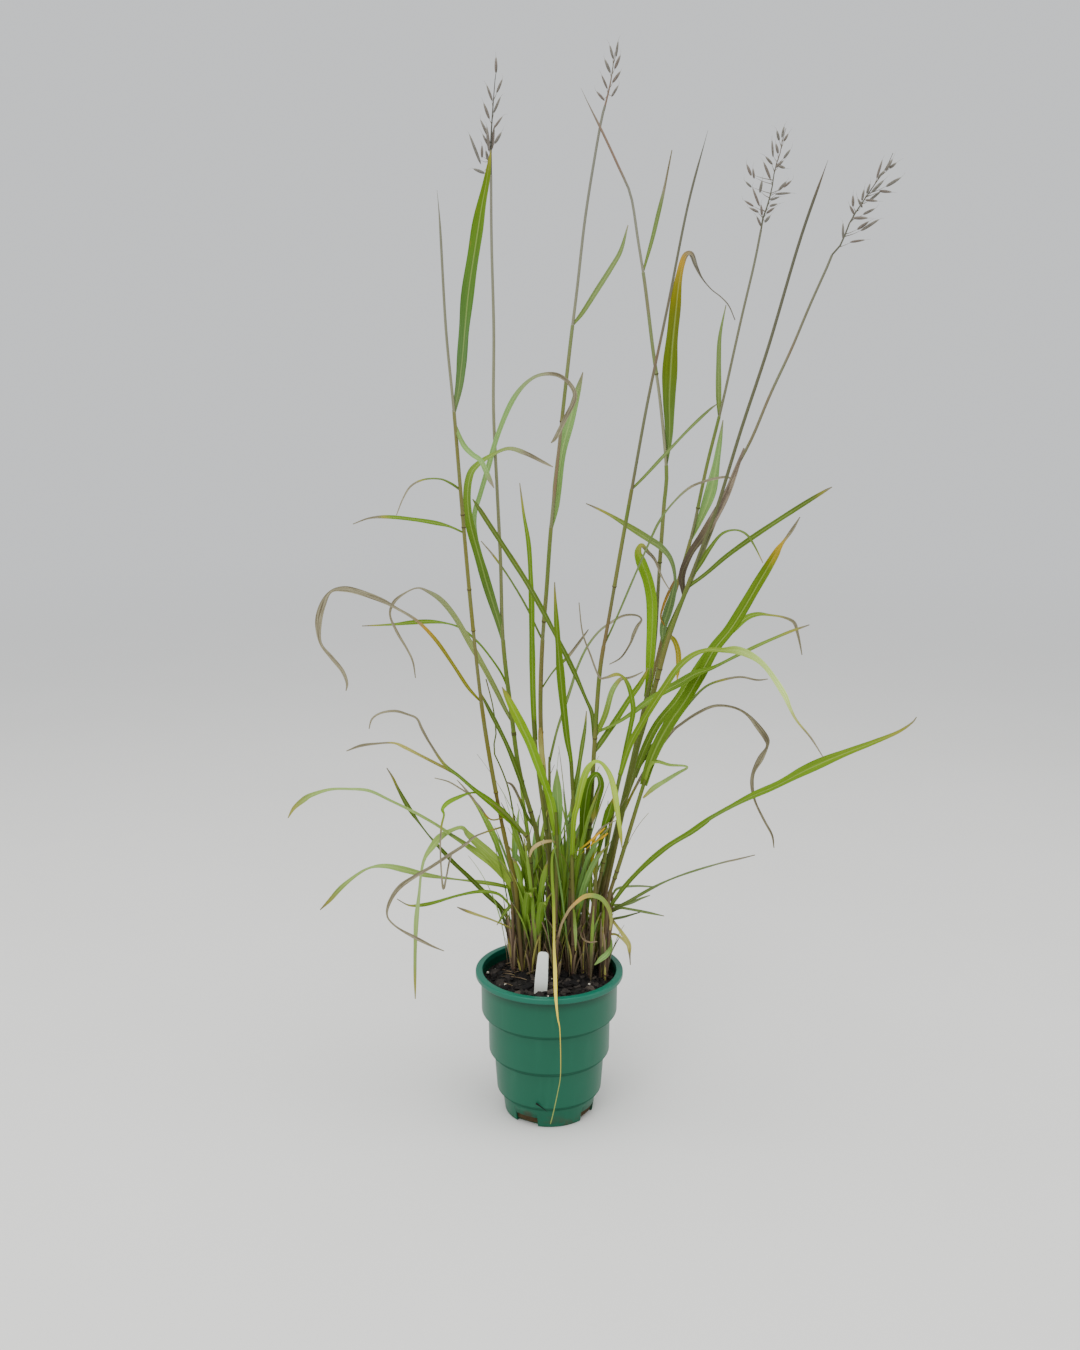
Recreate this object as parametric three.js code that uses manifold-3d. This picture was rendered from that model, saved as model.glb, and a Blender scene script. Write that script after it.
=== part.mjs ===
// Potted indian grass: leafy culms with rusty heads, in bark soil, in a terraced green nursery pot.
// Millimetres, +Z up, origin at the middle of the pot's flat foot, the photographed side towards -Y.

import * as THREE from 'three';
import { mergeVertices } from 'three/addons/utils/BufferGeometryUtils.js';
import Module from 'manifold-3d';

const wasm = await Module();
wasm.setup();

// Driving sizes of the pot, the soil and the label.
const gap = 0.3; // air between two pieces that touch
const pot = {
  height: 168,
  rim: 82.3, // outer radius of the rolled lip
  lipDrop: 6.5,
  lipRound: 1.2,
  wall: 1.6,
  floor: 3,
  sides: 28,
  // each terrace from the top down: its top and bottom height, and its radius at both
  terraces: [
    { top: 161.5, bottom: 119.5, wide: 76.2, narrow: 75.8 },
    { top: 115.5, bottom: 72, wide: 68.3, narrow: 67.7 },
    { top: 68.5, bottom: 26, wide: 61.8, narrow: 58.8 },
    { top: 23, bottom: 0, wide: 52.9, narrow: 49.8 },
  ],
  notches: 4, // drain openings cut up into the edge of the foot
  notchTurn: 60, // degrees from the front to the first one
  notchWide: 27,
  notchHigh: 11,
  notchReach: 12.8, // how far inwards they cut
};
const soil = {
  top: 158,
  crown: 4, // how much higher the middle lies than the edge
  clod: 1.7, // height of the lumps
  rings: 6,
};
const label = {
  wide: 14.6,
  thick: 1,
  high: 46, // above the soil
  deep: 16, // in the soil
  corner: 3.5,
  point: 0.3, // width of the lower end as a share of the whole width
  lean: -8,
  turn: 4,
  column: 540.5, // the photograph's column of its foot
  depth: -42,
};

// Driving sizes of the plant.
const peg = { deep: 8, high: 4.5 }; // the upright foot of each stem, in and above the soil
const stemSides = 5;
const blade = {
  thick: 0.8,
  slimmest: 5.5, // the least real width, however slim a blade looks
  spare: 1.1, // real width over the widest traced width
  tip: 1.3, // width of the tip
  fold: 0.16, // depth of the middle fold as a share of the width
  foldFrom: 10, // blades wider than this are folded
  collar: 0.3, // width at the collar as a share of the full width
  opening: 2.4, // growth of that share along the blade
  closing: 3, // fall of that share towards the tip
  end: 0.15,
  bow: 1.5, // how late on its way a blade gains its depth
  coarse: 0.8, // pieces for each two traced points of a long line
  fine: 1.25,
  longFrom: 6, // a line of more points than this is long
};
const young = { pieces: 3, girth: [1.9, 1.4], tilt: 9, leaves: 3, husks: 1 };
const spikelet = {
  stalk: 0.5,
  body: 1.05,
  tip: 0.4,
  sides: 3,
  waist: 0.35, // where along it the body is thickest
  spread: 7, // how far it stands to the front or the back of the axis
  turn: 2.4, // radians from one spikelet to the next
  drop: 6, // rows that its stalk leaves the axis below it
};

// Where the photograph was taken from, in front of the pot and looking down a little.
const photo = { wide: 1080, high: 1350, focal: 1500, dip: 12.94, yaw: 0.38 };
const eye = new THREE.Vector3(0, -1560, 862);
const upward = new THREE.Vector3(0, 0, 1);
const soilRow = 960; // the photograph's row where the stems leave the soil

const degrees = THREE.MathUtils.degToRad;
const lerp = THREE.MathUtils.lerp;

// The direction of photograph pixel (u, v) from the eye.
function sight(u, v) {
  const across = (u - photo.wide / 2) / photo.focal;
  const rise = (photo.high / 2 - v) / photo.focal;
  const cos = Math.cos(degrees(photo.dip));
  const sin = Math.sin(degrees(photo.dip));
  return new THREE.Vector3(across, cos + rise * sin, rise * cos - sin)
    .applyAxisAngle(upward, degrees(photo.yaw));
}

// The point at depth y that photograph pixel (u, v) shows.
function seenAt(u, v, y) {
  const ray = sight(u, v);
  return ray.multiplyScalar((y - eye.y) / ray.y).add(eye);
}

// The millimetres that one pixel covers at depth y.
const pixelAt = (y) => (y - eye.y) / photo.focal;

// The point of the soil at depth y under photograph column u.
function footAt(u, y) {
  const point = seenAt(u, soilRow, y);
  point.z = soil.top;
  return point;
}

// A closed body through rings of points that run the same way round, the middle of each ring
// joined to its other half, so that both faces of a flat ring are split alike.
function loft(rings) {
  const around = rings[0].length;
  const faces = [];
  for (let row = 0; row + 1 < rings.length; row++) {
    for (let i = 0; i < around; i++) {
      const next = (i + 1) % around;
      const [a, b] = [row * around + i, row * around + next];
      const [c, d] = [b + around, a + around];
      if (i < around / 2) faces.push(a, b, c, a, c, d);
      else faces.push(a, b, d, b, c, d);
    }
  }
  const last = (rings.length - 1) * around;
  for (let i = 0; i + 1 < around / 2; i++) {
    const far = around - 1 - i;
    faces.push(i, far, far - 1);
    faces.push(last + i, last + far - 1, last + far);
    if (far - 1 === i + 1) continue;
    faces.push(i, far - 1, i + 1);
    faces.push(last + i, last + i + 1, last + far - 1);
  }
  const geometry = new THREE.BufferGeometry();
  const places = rings.flat().flatMap((p) => p.toArray());
  geometry.setAttribute('position', new THREE.Float32BufferAttribute(places, 3));
  geometry.setIndex(faces);
  return geometry;
}

// A geometry as a solid that can be joined and cut.
function solid(geometry) {
  const plain = geometry.clone();
  plain.deleteAttribute('normal');
  plain.deleteAttribute('uv');
  const merged = mergeVertices(plain, 1e-4);
  return new wasm.Manifold(new wasm.Mesh({
    numProp: 3,
    vertProperties: new Float32Array(merged.attributes.position.array),
    triVerts: new Uint32Array(merged.index.array),
  }));
}

const group = new THREE.Group();

// Adds a solid to the model as a named mesh of its own colour.
function place(name, body, colour, roughness = 0.7) {
  const { vertProperties, triVerts } = body.getMesh();
  const geometry = new THREE.BufferGeometry();
  geometry.setAttribute('position', new THREE.BufferAttribute(new Float32Array(vertProperties), 3));
  geometry.setIndex(new THREE.BufferAttribute(new Uint32Array(triVerts), 1));
  geometry.computeVertexNormals();
  const material = new THREE.MeshStandardMaterial({ color: colour, roughness, metalness: 0 });
  const mesh = new THREE.Mesh(geometry, material);
  mesh.name = name;
  group.add(mesh);
}

// A prism of `sides` sides round an upright axis, from height `low` to `high`.
function prism(radius, low, high, x, y, sides) {
  const ring = (z) => Array.from({ length: sides }, (_, i) => {
    const turn = (i / sides) * 2 * Math.PI;
    return new THREE.Vector3(x + radius * Math.cos(turn), y + radius * Math.sin(turn), z);
  });
  return solid(loft([ring(low), ring(high)]));
}

// Pot: terraces that step inwards towards the foot, under a rolled lip.
const outside = pot.terraces.flatMap(
  ({ top, bottom, wide, narrow }) => [[wide, top], [narrow, bottom]],
);

// The pot's inside, `inward` millimetres behind its outside, from the top down to the floor.
function insideProfile(inward, floor) {
  return outside.map(([radius, height]) => [radius - inward, Math.max(height, floor)]);
}

function makePot() {
  const lipFoot = pot.height - pot.lipDrop;
  const round = pot.lipRound;
  const inner = pot.terraces[0].wide - pot.wall;
  const profile = [
    [0, 0],
    ...[...outside].reverse(),
    [pot.rim - round, lipFoot],
    [pot.rim, lipFoot + round],
    [pot.rim, pot.height - round],
    [pot.rim - round, pot.height],
    [inner + round, pot.height],
    [inner, pot.height - round],
    ...insideProfile(pot.wall, pot.floor),
    [0, pot.floor],
  ];
  const points = profile.map(([radius, height]) => new THREE.Vector2(radius, height));
  let body = solid(new THREE.LatheGeometry(points, pot.sides).rotateX(Math.PI / 2));
  for (let i = 0; i < pot.notches; i++) {
    const turn = pot.notchTurn + (i * 360) / pot.notches - 90;
    const notch = new THREE.BoxGeometry(pot.notchReach, pot.notchWide, pot.notchHigh * 2);
    notch.translate(outside.at(-1)[0], 0, 0).rotateZ(degrees(turn));
    body = body.subtract(solid(notch));
  }
  place('pot', body, 0x2d735a, 0.45);
}

// Soil: fills the pot below the lip, its face raised into clods and flat pieces of bark.
function clods(x, y) {
  const coarse = Math.sin(x / 7.1 + 1.3) * Math.cos(y / 6.3 - 0.4) + Math.sin((x + y) / 4.7);
  const fine = Math.sin(x / 2.9 + y / 3.7) * Math.cos(y / 2.3 - x / 5.1);
  return soil.clod * (0.5 * coarse + 0.45 * fine);
}

function makeSoil(holes) {
  const walls = insideProfile(pot.wall + gap, pot.floor + gap)
    .filter(([, height]) => height < soil.top);
  const edge = pot.terraces[0].wide - pot.wall - gap;
  const top = Array.from(
    { length: soil.rings + 1 },
    (_, i) => [edge * (1 - i / soil.rings), soil.top],
  );
  const profile = [[0, pot.floor + gap], ...walls.reverse(), ...top];
  const points = profile.map(([radius, height]) => new THREE.Vector2(radius, height));
  const geometry = new THREE.LatheGeometry(points, pot.sides).rotateX(Math.PI / 2);
  const position = geometry.attributes.position;
  for (let i = 0; i < position.count; i++) {
    if (position.getZ(i) < soil.top - gap) continue;
    const [x, y] = [position.getX(i), position.getY(i)];
    const middle = 1 - Math.hypot(x, y) / edge;
    const inside = Math.min(1, middle * soil.rings);
    const crown = soil.crown * middle * (2 - middle);
    position.setZ(i, soil.top - soil.crown + inside * (crown + clods(x, y)));
  }
  let body = solid(geometry);
  for (const hole of holes) body = body.subtract(hole);
  place('soil', body, 0x2b2521, 0.95);
}

// Label: a blank plastic tag with cut corners, pushed into the soil and leaning a little.
function makeLabel() {
  const foot = footAt(label.column, label.depth);
  const tag = (grow) => {
    const half = label.wide / 2 + grow;
    const top = label.high + grow;
    const low = -label.deep - grow;
    const outline = new THREE.Shape([
      new THREE.Vector2(-half * label.point, low),
      new THREE.Vector2(half * label.point, low),
      new THREE.Vector2(half, low + label.wide),
      new THREE.Vector2(half, top - label.corner),
      new THREE.Vector2(half - label.corner, top),
      new THREE.Vector2(label.corner - half, top),
      new THREE.Vector2(-half, top - label.corner),
      new THREE.Vector2(-half, low + label.wide),
    ]);
    const thick = label.thick + 2 * grow;
    const geometry = new THREE.ExtrudeGeometry(outline, { depth: thick, bevelEnabled: false });
    geometry.translate(0, 0, -thick / 2).rotateX(Math.PI / 2);
    geometry.rotateY(degrees(label.turn)).rotateX(degrees(label.lean)).translate(...foot.toArray());
    return solid(geometry);
  };
  place('label', tag(0), 0xe6e8e4, 0.4);
  return tag(gap);
}

// A smooth line through traced [column, row, width] points, `steps` pieces for each two points.
function traced(points, steps) {
  const curve = new THREE.CatmullRomCurve3(points.map(([u, v, w = 0]) => new THREE.Vector3(u, v, w)),
    false, 'catmullrom', 0.5);
  return curve.getPoints(Math.max(2, Math.round((points.length - 1) * steps)));
}

// The directions along a line of points.
function tangents(line) {
  return line.map((_, i) => {
    const before = line[Math.max(i - 1, 0)];
    const after = line[Math.min(i + 1, line.length - 1)];
    return after.clone().sub(before).normalize();
  });
}

// A round stem along a line, its radius running evenly between the two given.
function tube(line, [thick, thin], sides, grow = 0) {
  let side = new THREE.Vector3(1, 0, 0);
  const rings = tangents(line).map((along, i) => {
    side = side.clone().addScaledVector(along, -side.dot(along)).normalize();
    const other = along.clone().cross(side);
    const radius = lerp(thick, thin, i / (line.length - 1)) + grow;
    return Array.from({ length: sides }, (_, k) => {
      const turn = (k / sides) * 2 * Math.PI;
      return line[i].clone()
        .addScaledVector(side, radius * Math.cos(turn))
        .addScaledVector(other, radius * Math.sin(turn));
    });
  });
  return solid(loft(rings));
}

// A leaf blade along a spine, as wide as `widths` in the directions `wides`. A broad one is folded
// down along its middle; `grow` makes it thicker and wider all round.
function bladeBody(spine, wides, widths, grow = 0) {
  const keeled = Math.max(...widths) > blade.foldFrom;
  const half = blade.thick / 2 + grow;
  const rings = tangents(spine).map((along, i) => {
    const up = along.clone().cross(wides[i]);
    const at = (out, lift) => spine[i].clone()
      .addScaledVector(wides[i], out * (widths[i] / 2 + grow))
      .addScaledVector(up, lift);
    if (!keeled) return [at(1, half), at(-1, half), at(-1, -half), at(1, -half)];
    const crease = -blade.fold * widths[i];
    return [
      at(1, half), at(0, half + crease), at(-1, half),
      at(-1, -half), at(0, crease - half), at(1, -half),
    ];
  });
  return solid(loft(rings));
}

// How broad a blade is at a share of its length: narrow at its collar, pointed at its tip.
const taper = (share) => Math.min(
  blade.collar + blade.opening * share,
  1,
  blade.closing * (1 - share) + blade.end,
);

// A traced leaf from its start on a stem. It gains `reach` of depth on its way, unless its points
// carry a depth of their own, and turns about its own line just so far that its real width shows
// as the traced width.
function tracedLeaf(start, reach, points) {
  const steps = points.length > blade.longFrom ? blade.coarse : blade.fine;
  const line = traced(points, steps);
  const widest = Math.max(...points.map(([, , w]) => w)) * pixelAt(start.y);
  const full = Math.max(blade.slimmest, widest * blade.spare);
  const side = Math.sign(line.at(-1).x - line[0].x) || 1;
  const lengths = [0];
  for (let i = 1; i < line.length; i++) {
    lengths.push(lengths[i - 1] + Math.hypot(line[i].x - line[i - 1].x, line[i].y - line[i - 1].y));
  }
  const share = lengths.map((length) => length / lengths.at(-1));
  const given = points[0].length > 3 && traced(points.map(([u, v, , y]) => [u, v, y]), steps);
  const depths = share.map((part, i) => (given ? given[i].z : start.y + reach * part ** blade.bow));
  const spine = line.map((p, i) => (i === 0 ? start.clone() : seenAt(p.x, p.y, depths[i])));
  const widths = [];
  const wides = tangents(spine).map((along, i) => {
    const seen = Math.max(line[i].z * pixelAt(spine[i].y), blade.thick);
    const width = Math.max(seen, full * taper(share[i]), blade.tip);
    widths.push(width);
    const turn = Math.acos(Math.min(1, seen / width));
    const view = spine[i].clone().sub(eye).normalize();
    const across = along.clone().cross(view).normalize();
    const away = across.clone().cross(along);
    return across.multiplyScalar(Math.cos(turn)).addScaledVector(away, side * Math.sin(turn));
  });
  return bladeBody(spine, wides, widths);
}

// A young leaf that rises from `start` towards the compass direction `turn`, at `rise` degrees, and
// bends over by `bend` degrees towards its tip.
function youngLeaf(start, { turn, rise, bend, length, width }, grow = 0) {
  const out = new THREE.Vector3(Math.cos(degrees(turn)), Math.sin(degrees(turn)), 0);
  const wide = new THREE.Vector3(-out.y, out.x, 0);
  const spine = [start.clone()];
  const widths = [width * taper(0)];
  for (let i = 1; i <= young.pieces; i++) {
    const share = i / young.pieces;
    const slope = degrees(rise - bend * (share - 0.5 / young.pieces) ** 1.3);
    const step = length / young.pieces;
    spine.push(spine.at(-1).clone().addScaledVector(out, step * Math.cos(slope))
      .addScaledVector(upward, step * Math.sin(slope)));
    widths.push(Math.max(blade.tip, width * taper(share)));
  }
  return bladeBody(spine, spine.map(() => wide), widths, grow);
}

// The plant, traced from the photograph. A stem has a foot on the soil as [column, depth], the depth
// that it gains by its top, its radius at both ends, and the [column, row] points that it passes.
const stems = [];
function stem(name, foot, lean, girth, points) {
  stems.push({ name, foot, lean, girth, points, leaves: [] });
}

// A leaf of the stem above it: its finish, the depth that it gains, and its [column, row, width]
// points. Its first row is where it leaves the stem. Dry ones become pieces of their own.
function leaf(finish, reach, points) {
  stems.at(-1).leaves.push({ finish, reach, points });
}

stem('culm_far_left', [522, 14], -70, [2.4, 0.9], [[516, 885], [502, 824], [484.5, 726], [473, 628],
  [463, 520], [454, 412], [446, 330], [440, 225], [437, 190]]);
leaf('lime', -60, [[454, 412, 4], [460, 380, 8.5], [464, 330, 11], [468, 290, 12], [474, 250, 12],
  [480, 212, 9.5], [487, 178, 6], [491, 150, 1]]);
leaf('blue', -25, [[455, 425, 3], [463, 444, 5], [472, 454, 5], [481, 461, 5], [489, 478, 5],
  [494, 488, 1]]);
leaf('green', -60, [[461, 490, 2.5], [451, 483.5, 2.5], [440, 479, 2], [424, 479.5, 1.8],
  [411, 486, 2], [403, 498.5, 1.5], [396.5, 515, 1]]);
leaf('gold', -90, [[464, 533, 2], [450, 526.6, 2.5], [436, 523, 4.5], [415, 519.6, 3.5],
  [390, 517, 4], [370, 518, 2], [353, 524, 1]]);
leaf('dry', -70, [[480, 702, 2], [467, 686, 3.5], [452, 663, 3.8], [435, 639, 3.5], [416, 620, 3.5],
  [397, 608.5, 2.8], [381, 600, 5], [359, 592, 6], [344, 589, 6], [331, 591.5, 3], [323, 604, 6.5],
  [318.5, 622, 7.2], [320.5, 643, 3], [331.6, 657.5, 4.2], [342.5, 671, 4], [347, 683, 2.8],
  [346, 691, 1]]);
leaf('dry', -120, [[501, 827, 2], [486, 832, 2], [474, 837, 2.2], [466, 844, 3.2], [449, 855, 3.5],
  [431, 867, 3.5], [414, 877, 4], [402, 885, 5], [394, 894, 4.5], [388.5, 905, 3.5],
  [387, 914, 2.2], [390, 921, 2], [399.6, 929, 2.2], [416, 938, 3.8], [432, 946, 2.5],
  [444, 951, 1]]);

stem('culm_left', [543, 40], 60, [2.6, 1.1], [[542, 890], [538, 839], [520, 774], [511, 710],
  [503, 640], [500.5, 560], [497, 487], [493.5, 410], [493.8, 330], [491.5, 240], [491, 175]]);
leaf('lime', -60, [[503, 640, 4], [498, 620, 7], [488, 588, 9.5], [476, 547.5, 9], [469, 520, 8],
  [467, 494, 8.5], [470, 475, 6.5], [477, 465, 5], [490, 456, 4], [508, 448.5, 4], [525, 453, 4.5],
  [545, 463, 3], [553, 467, 1]]);
leaf('blue', 25, [[503, 642, 3], [490, 592, 3], [477, 540, 3], [474.5, 515, 4.5], [480, 495, 5],
  [488, 468, 5], [497, 437, 5], [510, 405, 5], [523, 386, 4], [538, 375.5, 3.5], [556, 374.5, 4],
  [569, 383, 4], [575, 397, 4.5], [566, 417, 4.5], [556, 437, 4], [551, 443, 1]]);
leaf('pale', -40, [[511, 722, 3], [500, 698, 5], [486, 671, 5.5], [470, 643, 6], [455, 617, 6],
  [441, 600, 5], [427, 591, 3], [417, 588, 1.8], [405, 593, 2], [394, 602, 3.5], [390, 615, 2.2],
  [397, 632, 3], [407, 649, 2.2], [413, 662, 2], [415.5, 678, 1]]);
leaf('lime', 30, [[509, 690, 2], [500.6, 672, 2.2], [484.4, 649.4, 2], [472, 636.5, 2.2],
  [460, 627.7, 2.2], [447, 623.4, 2], [430, 621.6, 4.2], [412, 622.4, 4.5], [391.5, 624.5, 2.5],
  [362, 626, 1]]);
leaf('green', -25, [[528, 805, 4], [517.7, 772, 5], [505.6, 742, 4.5], [489.4, 710, 4],
  [478, 688, 1]]);
leaf('pale', -20, [[533, 828, 3], [525.8, 813.6, 3], [517.7, 795, 3], [512, 785, 2.8],
  [506, 782, 1]]);

stem('culm_mid_left', [551, 57], 90, [2.6, 1.1], [[551, 900], [545, 795], [540.6, 720], [542, 650],
  [546.7, 588], [551, 528], [560, 438], [570, 347], [577, 290], [586, 212], [600, 127],
  [605, 106]]);
leaf('green', 40, [[573, 325, 2.5], [583, 312, 5], [597, 290, 5.5], [611, 268, 5.5],
  [621, 250, 4.5], [628, 225, 1]]);
leaf('blue', 60, [[551.5, 528, 4], [555.5, 505, 8], [558, 480, 9], [562, 450, 9.5], [570, 420, 9.5],
  [578, 390, 6], [583, 372, 1]]);
leaf('green', 30, [[541.5, 640, 2.2], [527.8, 609.4, 2], [509.6, 578.4, 2], [493.4, 555.6, 2],
  [481, 541, 1]]);
leaf('green', -12, [[541, 690, 1.8], [553.5, 671, 2], [568.3, 656.3, 3], [581.7, 638.8, 2.5],
  [588.5, 629.4, 1]]);

stem('culm_mid_right', [592, 50], 0, [2.6, 0.9], [[602, 885], [617, 830], [637, 740], [650, 680],
  [655, 640], [657, 610], [659.5, 567], [664, 505], [666.5, 470], [660, 400], [653, 350],
  [645, 285], [638, 240], [631, 196], [620, 170], [610, 148], [600, 127], [588, 103], [581, 88]]);
leaf('blue', -25, [[643, 272, 2], [652, 240, 4], [658, 215, 4], [664, 190, 4], [669, 165, 3],
  [672, 150, 1]]);
leaf('gold', -70, [[666.5, 465, 3], [669, 435, 7], [669, 405, 12], [669.5, 378, 14],
  [671.5, 345, 13], [675, 310, 10], [678.5, 280, 8], [684, 258, 7], [691, 254, 4], [697, 269, 3.5],
  [707, 285, 3.5], [721, 296, 3], [729, 306, 3], [735, 320, 1]]);
leaf('gold', -45, [[648, 697, 6], [649.5, 668, 8], [651.5, 628, 10.5], [651.5, 601, 10.5],
  [648, 581, 11], [641.5, 563, 11], [638.5, 552, 7], [642, 545.5, 4], [648, 552, 3.5],
  [655, 560, 3], [662, 577, 1.8], [670, 590.5, 1]]);

stem('culm_centre', [581, 36], -90, [2.6, 0.8], [[584, 905], [590, 820], [595, 737], [600, 670],
  [608.6, 620], [620.8, 550], [632, 488], [648, 400], [668, 305], [688, 205], [708, 130]]);
leaf('green', -40, [[632, 489, 2.5], [643, 478, 3], [657, 463, 3], [671, 448, 3], [690, 428, 3],
  [708, 411, 2.5], [717, 404, 1]]);
leaf('green', -10, [[604, 646, 2], [617.4, 616, 2], [633, 579.6, 2], [649, 543, 2],
  [658.4, 523, 2.5], [670.6, 505.6, 2], [688, 488.7, 2.5], [705.5, 481, 2.5], [724.6, 477, 2.5],
  [732, 479, 1]]);
leaf('lime', -60, [[595, 740, 5], [592, 714, 4.5], [586, 699, 3.5], [573, 669.6, 5],
  [553.5, 630.7, 4.5], [528.4, 585, 5.5], [507, 551.5, 5], [489.4, 524.6, 5], [480, 510, 4.5],
  [472.6, 499, 1]]);
leaf('pale', -30, [[596, 735, 5], [605, 715.4, 6], [611, 694, 6], [616, 684.4, 5],
  [621.3, 679, 3.5], [628, 678, 2.5], [635, 675.7, 2], [643, 671.6, 1]]);
leaf('green', 10, [[594, 752, 4], [601, 742, 6], [614.6, 722, 6], [629.4, 699, 6],
  [641.5, 681.7, 5], [648, 668, 1]]);
leaf('blue', -110, [[595, 733, 2.5], [614.6, 724, 3.5], [630.7, 714, 4.5], [648, 701, 6],
  [664.4, 691, 7.5], [681, 682, 8.5], [695.4, 673.7, 6.5], [713, 667.6, 4], [737, 655.5, 3.2],
  [761, 644, 3.5], [789, 632, 3], [809.4, 624.8, 1]]);

stem('culm_right_back', [584, 57], 110, [2.4, 1.0], [[600, 890], [612, 845], [624, 795], [638, 735],
  [654, 672], [668, 615], [680.6, 574], [693, 530], [707, 465], [722, 405], [741, 320], [754, 265],
  [761, 230]]);
leaf('green', 40, [[719, 416, 3], [718.6, 395, 5.5], [718.7, 360, 5], [720, 335, 3],
  [726, 305, 1]]);
leaf('blue', 60, [[690.6, 540, 3], [702, 515, 8], [709.5, 495, 11], [713.5, 478, 10], [718, 452, 6],
  [723, 420, 1]]);

stem('spear_right', [600, 26], -70, [2.6, 0.8], [[605, 895], [619, 830], [636, 755], [652, 700],
  [668, 640], [688, 585], [702, 548], [718, 505], [741, 430], [769, 345], [800, 240], [828, 160]]);
leaf('green', -60, [[691, 577, 4], [700.5, 563, 5], [709.6, 548.6, 4.5], [721.7, 534, 3],
  [735, 530, 1.6], [746, 534, 2], [754, 545, 2], [763, 563, 1]]);
leaf('lime', -100, [[688, 587, 4], [706, 573.6, 4], [726, 556.5, 5], [750, 539, 5], [778.5, 520, 5],
  [806.7, 502, 4.5], [824, 491.5, 3], [832, 487, 1]]);

stem('culm_right', [598, 33], 20, [2.6, 1.0], [[603, 885], [614, 845], [631, 769], [643, 727],
  [655.7, 682], [666.5, 636], [677, 610.6], [689, 586], [704, 550], [715, 522], [733, 475],
  [752, 438], [770, 395], [791, 350], [810, 305], [828, 265], [832, 255]]);
leaf('gold', -60, [[662, 645, 3], [663, 628, 7], [668, 611, 9], [673, 594, 7], [675, 580, 3],
  [673.5, 567, 3.5], [669, 556, 5], [661, 547, 7], [650, 539.5, 7], [631.5, 528, 5.5],
  [610, 515, 3.5], [594, 507, 2], [586, 503.5, 1]]);
leaf('gold', -30, [[667, 634, 3], [674, 640, 5], [678, 651, 6], [678.5, 665, 5], [677, 680, 1]]);
leaf('dry', -12, [[684, 596, 4], [682, 575, 7], [690.7, 552.7, 7], [704, 534, 9], [716, 514, 9],
  [727, 493.5, 7], [736, 470, 5], [744, 448, 1.5]]);

stem('shoot_tall', [556, 22], -20, [2.2, 1.6], [[553, 900], [546, 830], [538, 770], [533.5, 720]]);
leaf('lime', 90, [[535, 740, 5], [533, 695, 6], [532, 640, 6], [531.5, 600, 5.5], [529, 547.5, 4.5],
  [523.7, 514, 3], [519.7, 483, 1]]);

stem('shoot_centre', [567, 14], -16, [2.2, 1.6], [[570, 900], [573, 850], [573, 800], [571, 762]]);
leaf('lime', -60, [[572.5, 790, 4], [571, 761, 4.5], [567, 737, 6], [563, 700.6, 8], [560, 667, 8],
  [558, 641.5, 6], [556.5, 622, 5], [555, 595, 2.5], [554.6, 582, 1]]);
leaf('green', 30, [[573, 800, 3], [578.9, 766.5, 4], [582.3, 745, 5], [585, 728, 3],
  [586.5, 711, 1]]);

stem('shoot_bright', [555, 3], -10, [2.2, 1.6], [[556, 900], [557, 850], [556, 812]]);
leaf('lime', -40, [[556.5, 835, 7], [551, 803, 9], [545, 783, 8], [538, 764, 8], [529, 740.5, 10],
  [518, 718.5, 9.5], [508, 698.5, 6.5], [502, 687, 1]]);
leaf('pale', -8, [[557, 850, 6], [558, 815, 9.5], [557, 790, 9.5], [557, 769, 1]]);
leaf('gold', 0, [[556.5, 843, 3, 1], [552.3, 856, 2.4, -12], [552, 875, 3, -24],
  [553.5, 900, 3.5, -38], [554, 925, 3, -50], [554, 945, 2.5, -60], [555, 968, 4.5, -72],
  [555.4, 985, 4.5, -83], [556, 1000, 3.5, -90], [557.8, 1018, 2, -92], [560, 1032, 1.8, -92],
  [560.6, 1073, 1.8, -91], [557.8, 1092, 2, -90], [552.8, 1115, 2, -89], [550.4, 1124, 1.3, -89]]);
leaf('straw', -18, [[557, 845, 1.5], [551, 841.3, 3], [541, 843.5, 4.5], [532.6, 850, 5],
  [531, 857, 2]]);

stem('shoot_far_right', [601, 4], -16, [2.4, 1.8], [[609, 895], [622, 855.4], [637, 806],
  [645, 780]]);
leaf('lime', -30, [[644, 785, 8], [649.6, 764, 10], [659, 742, 11.5], [671, 721, 12],
  [686, 698, 12], [699.4, 675, 12.5], [713, 650, 12], [729, 630, 11], [742, 610, 11],
  [755.6, 587, 11], [766, 570, 9.8], [775, 555, 8], [779, 548, 5.5], [784, 541, 3], [792, 530, 3.5],
  [800, 517, 1]]);
leaf('lime', -20, [[642, 792, 3], [652, 763, 3.5], [670, 765, 3], [684, 765.8, 2.5],
  [687, 768, 2.5], [678, 773, 3.5], [664.4, 781.3, 4.2], [653.6, 788, 5.5], [643, 798, 2]]);

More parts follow.
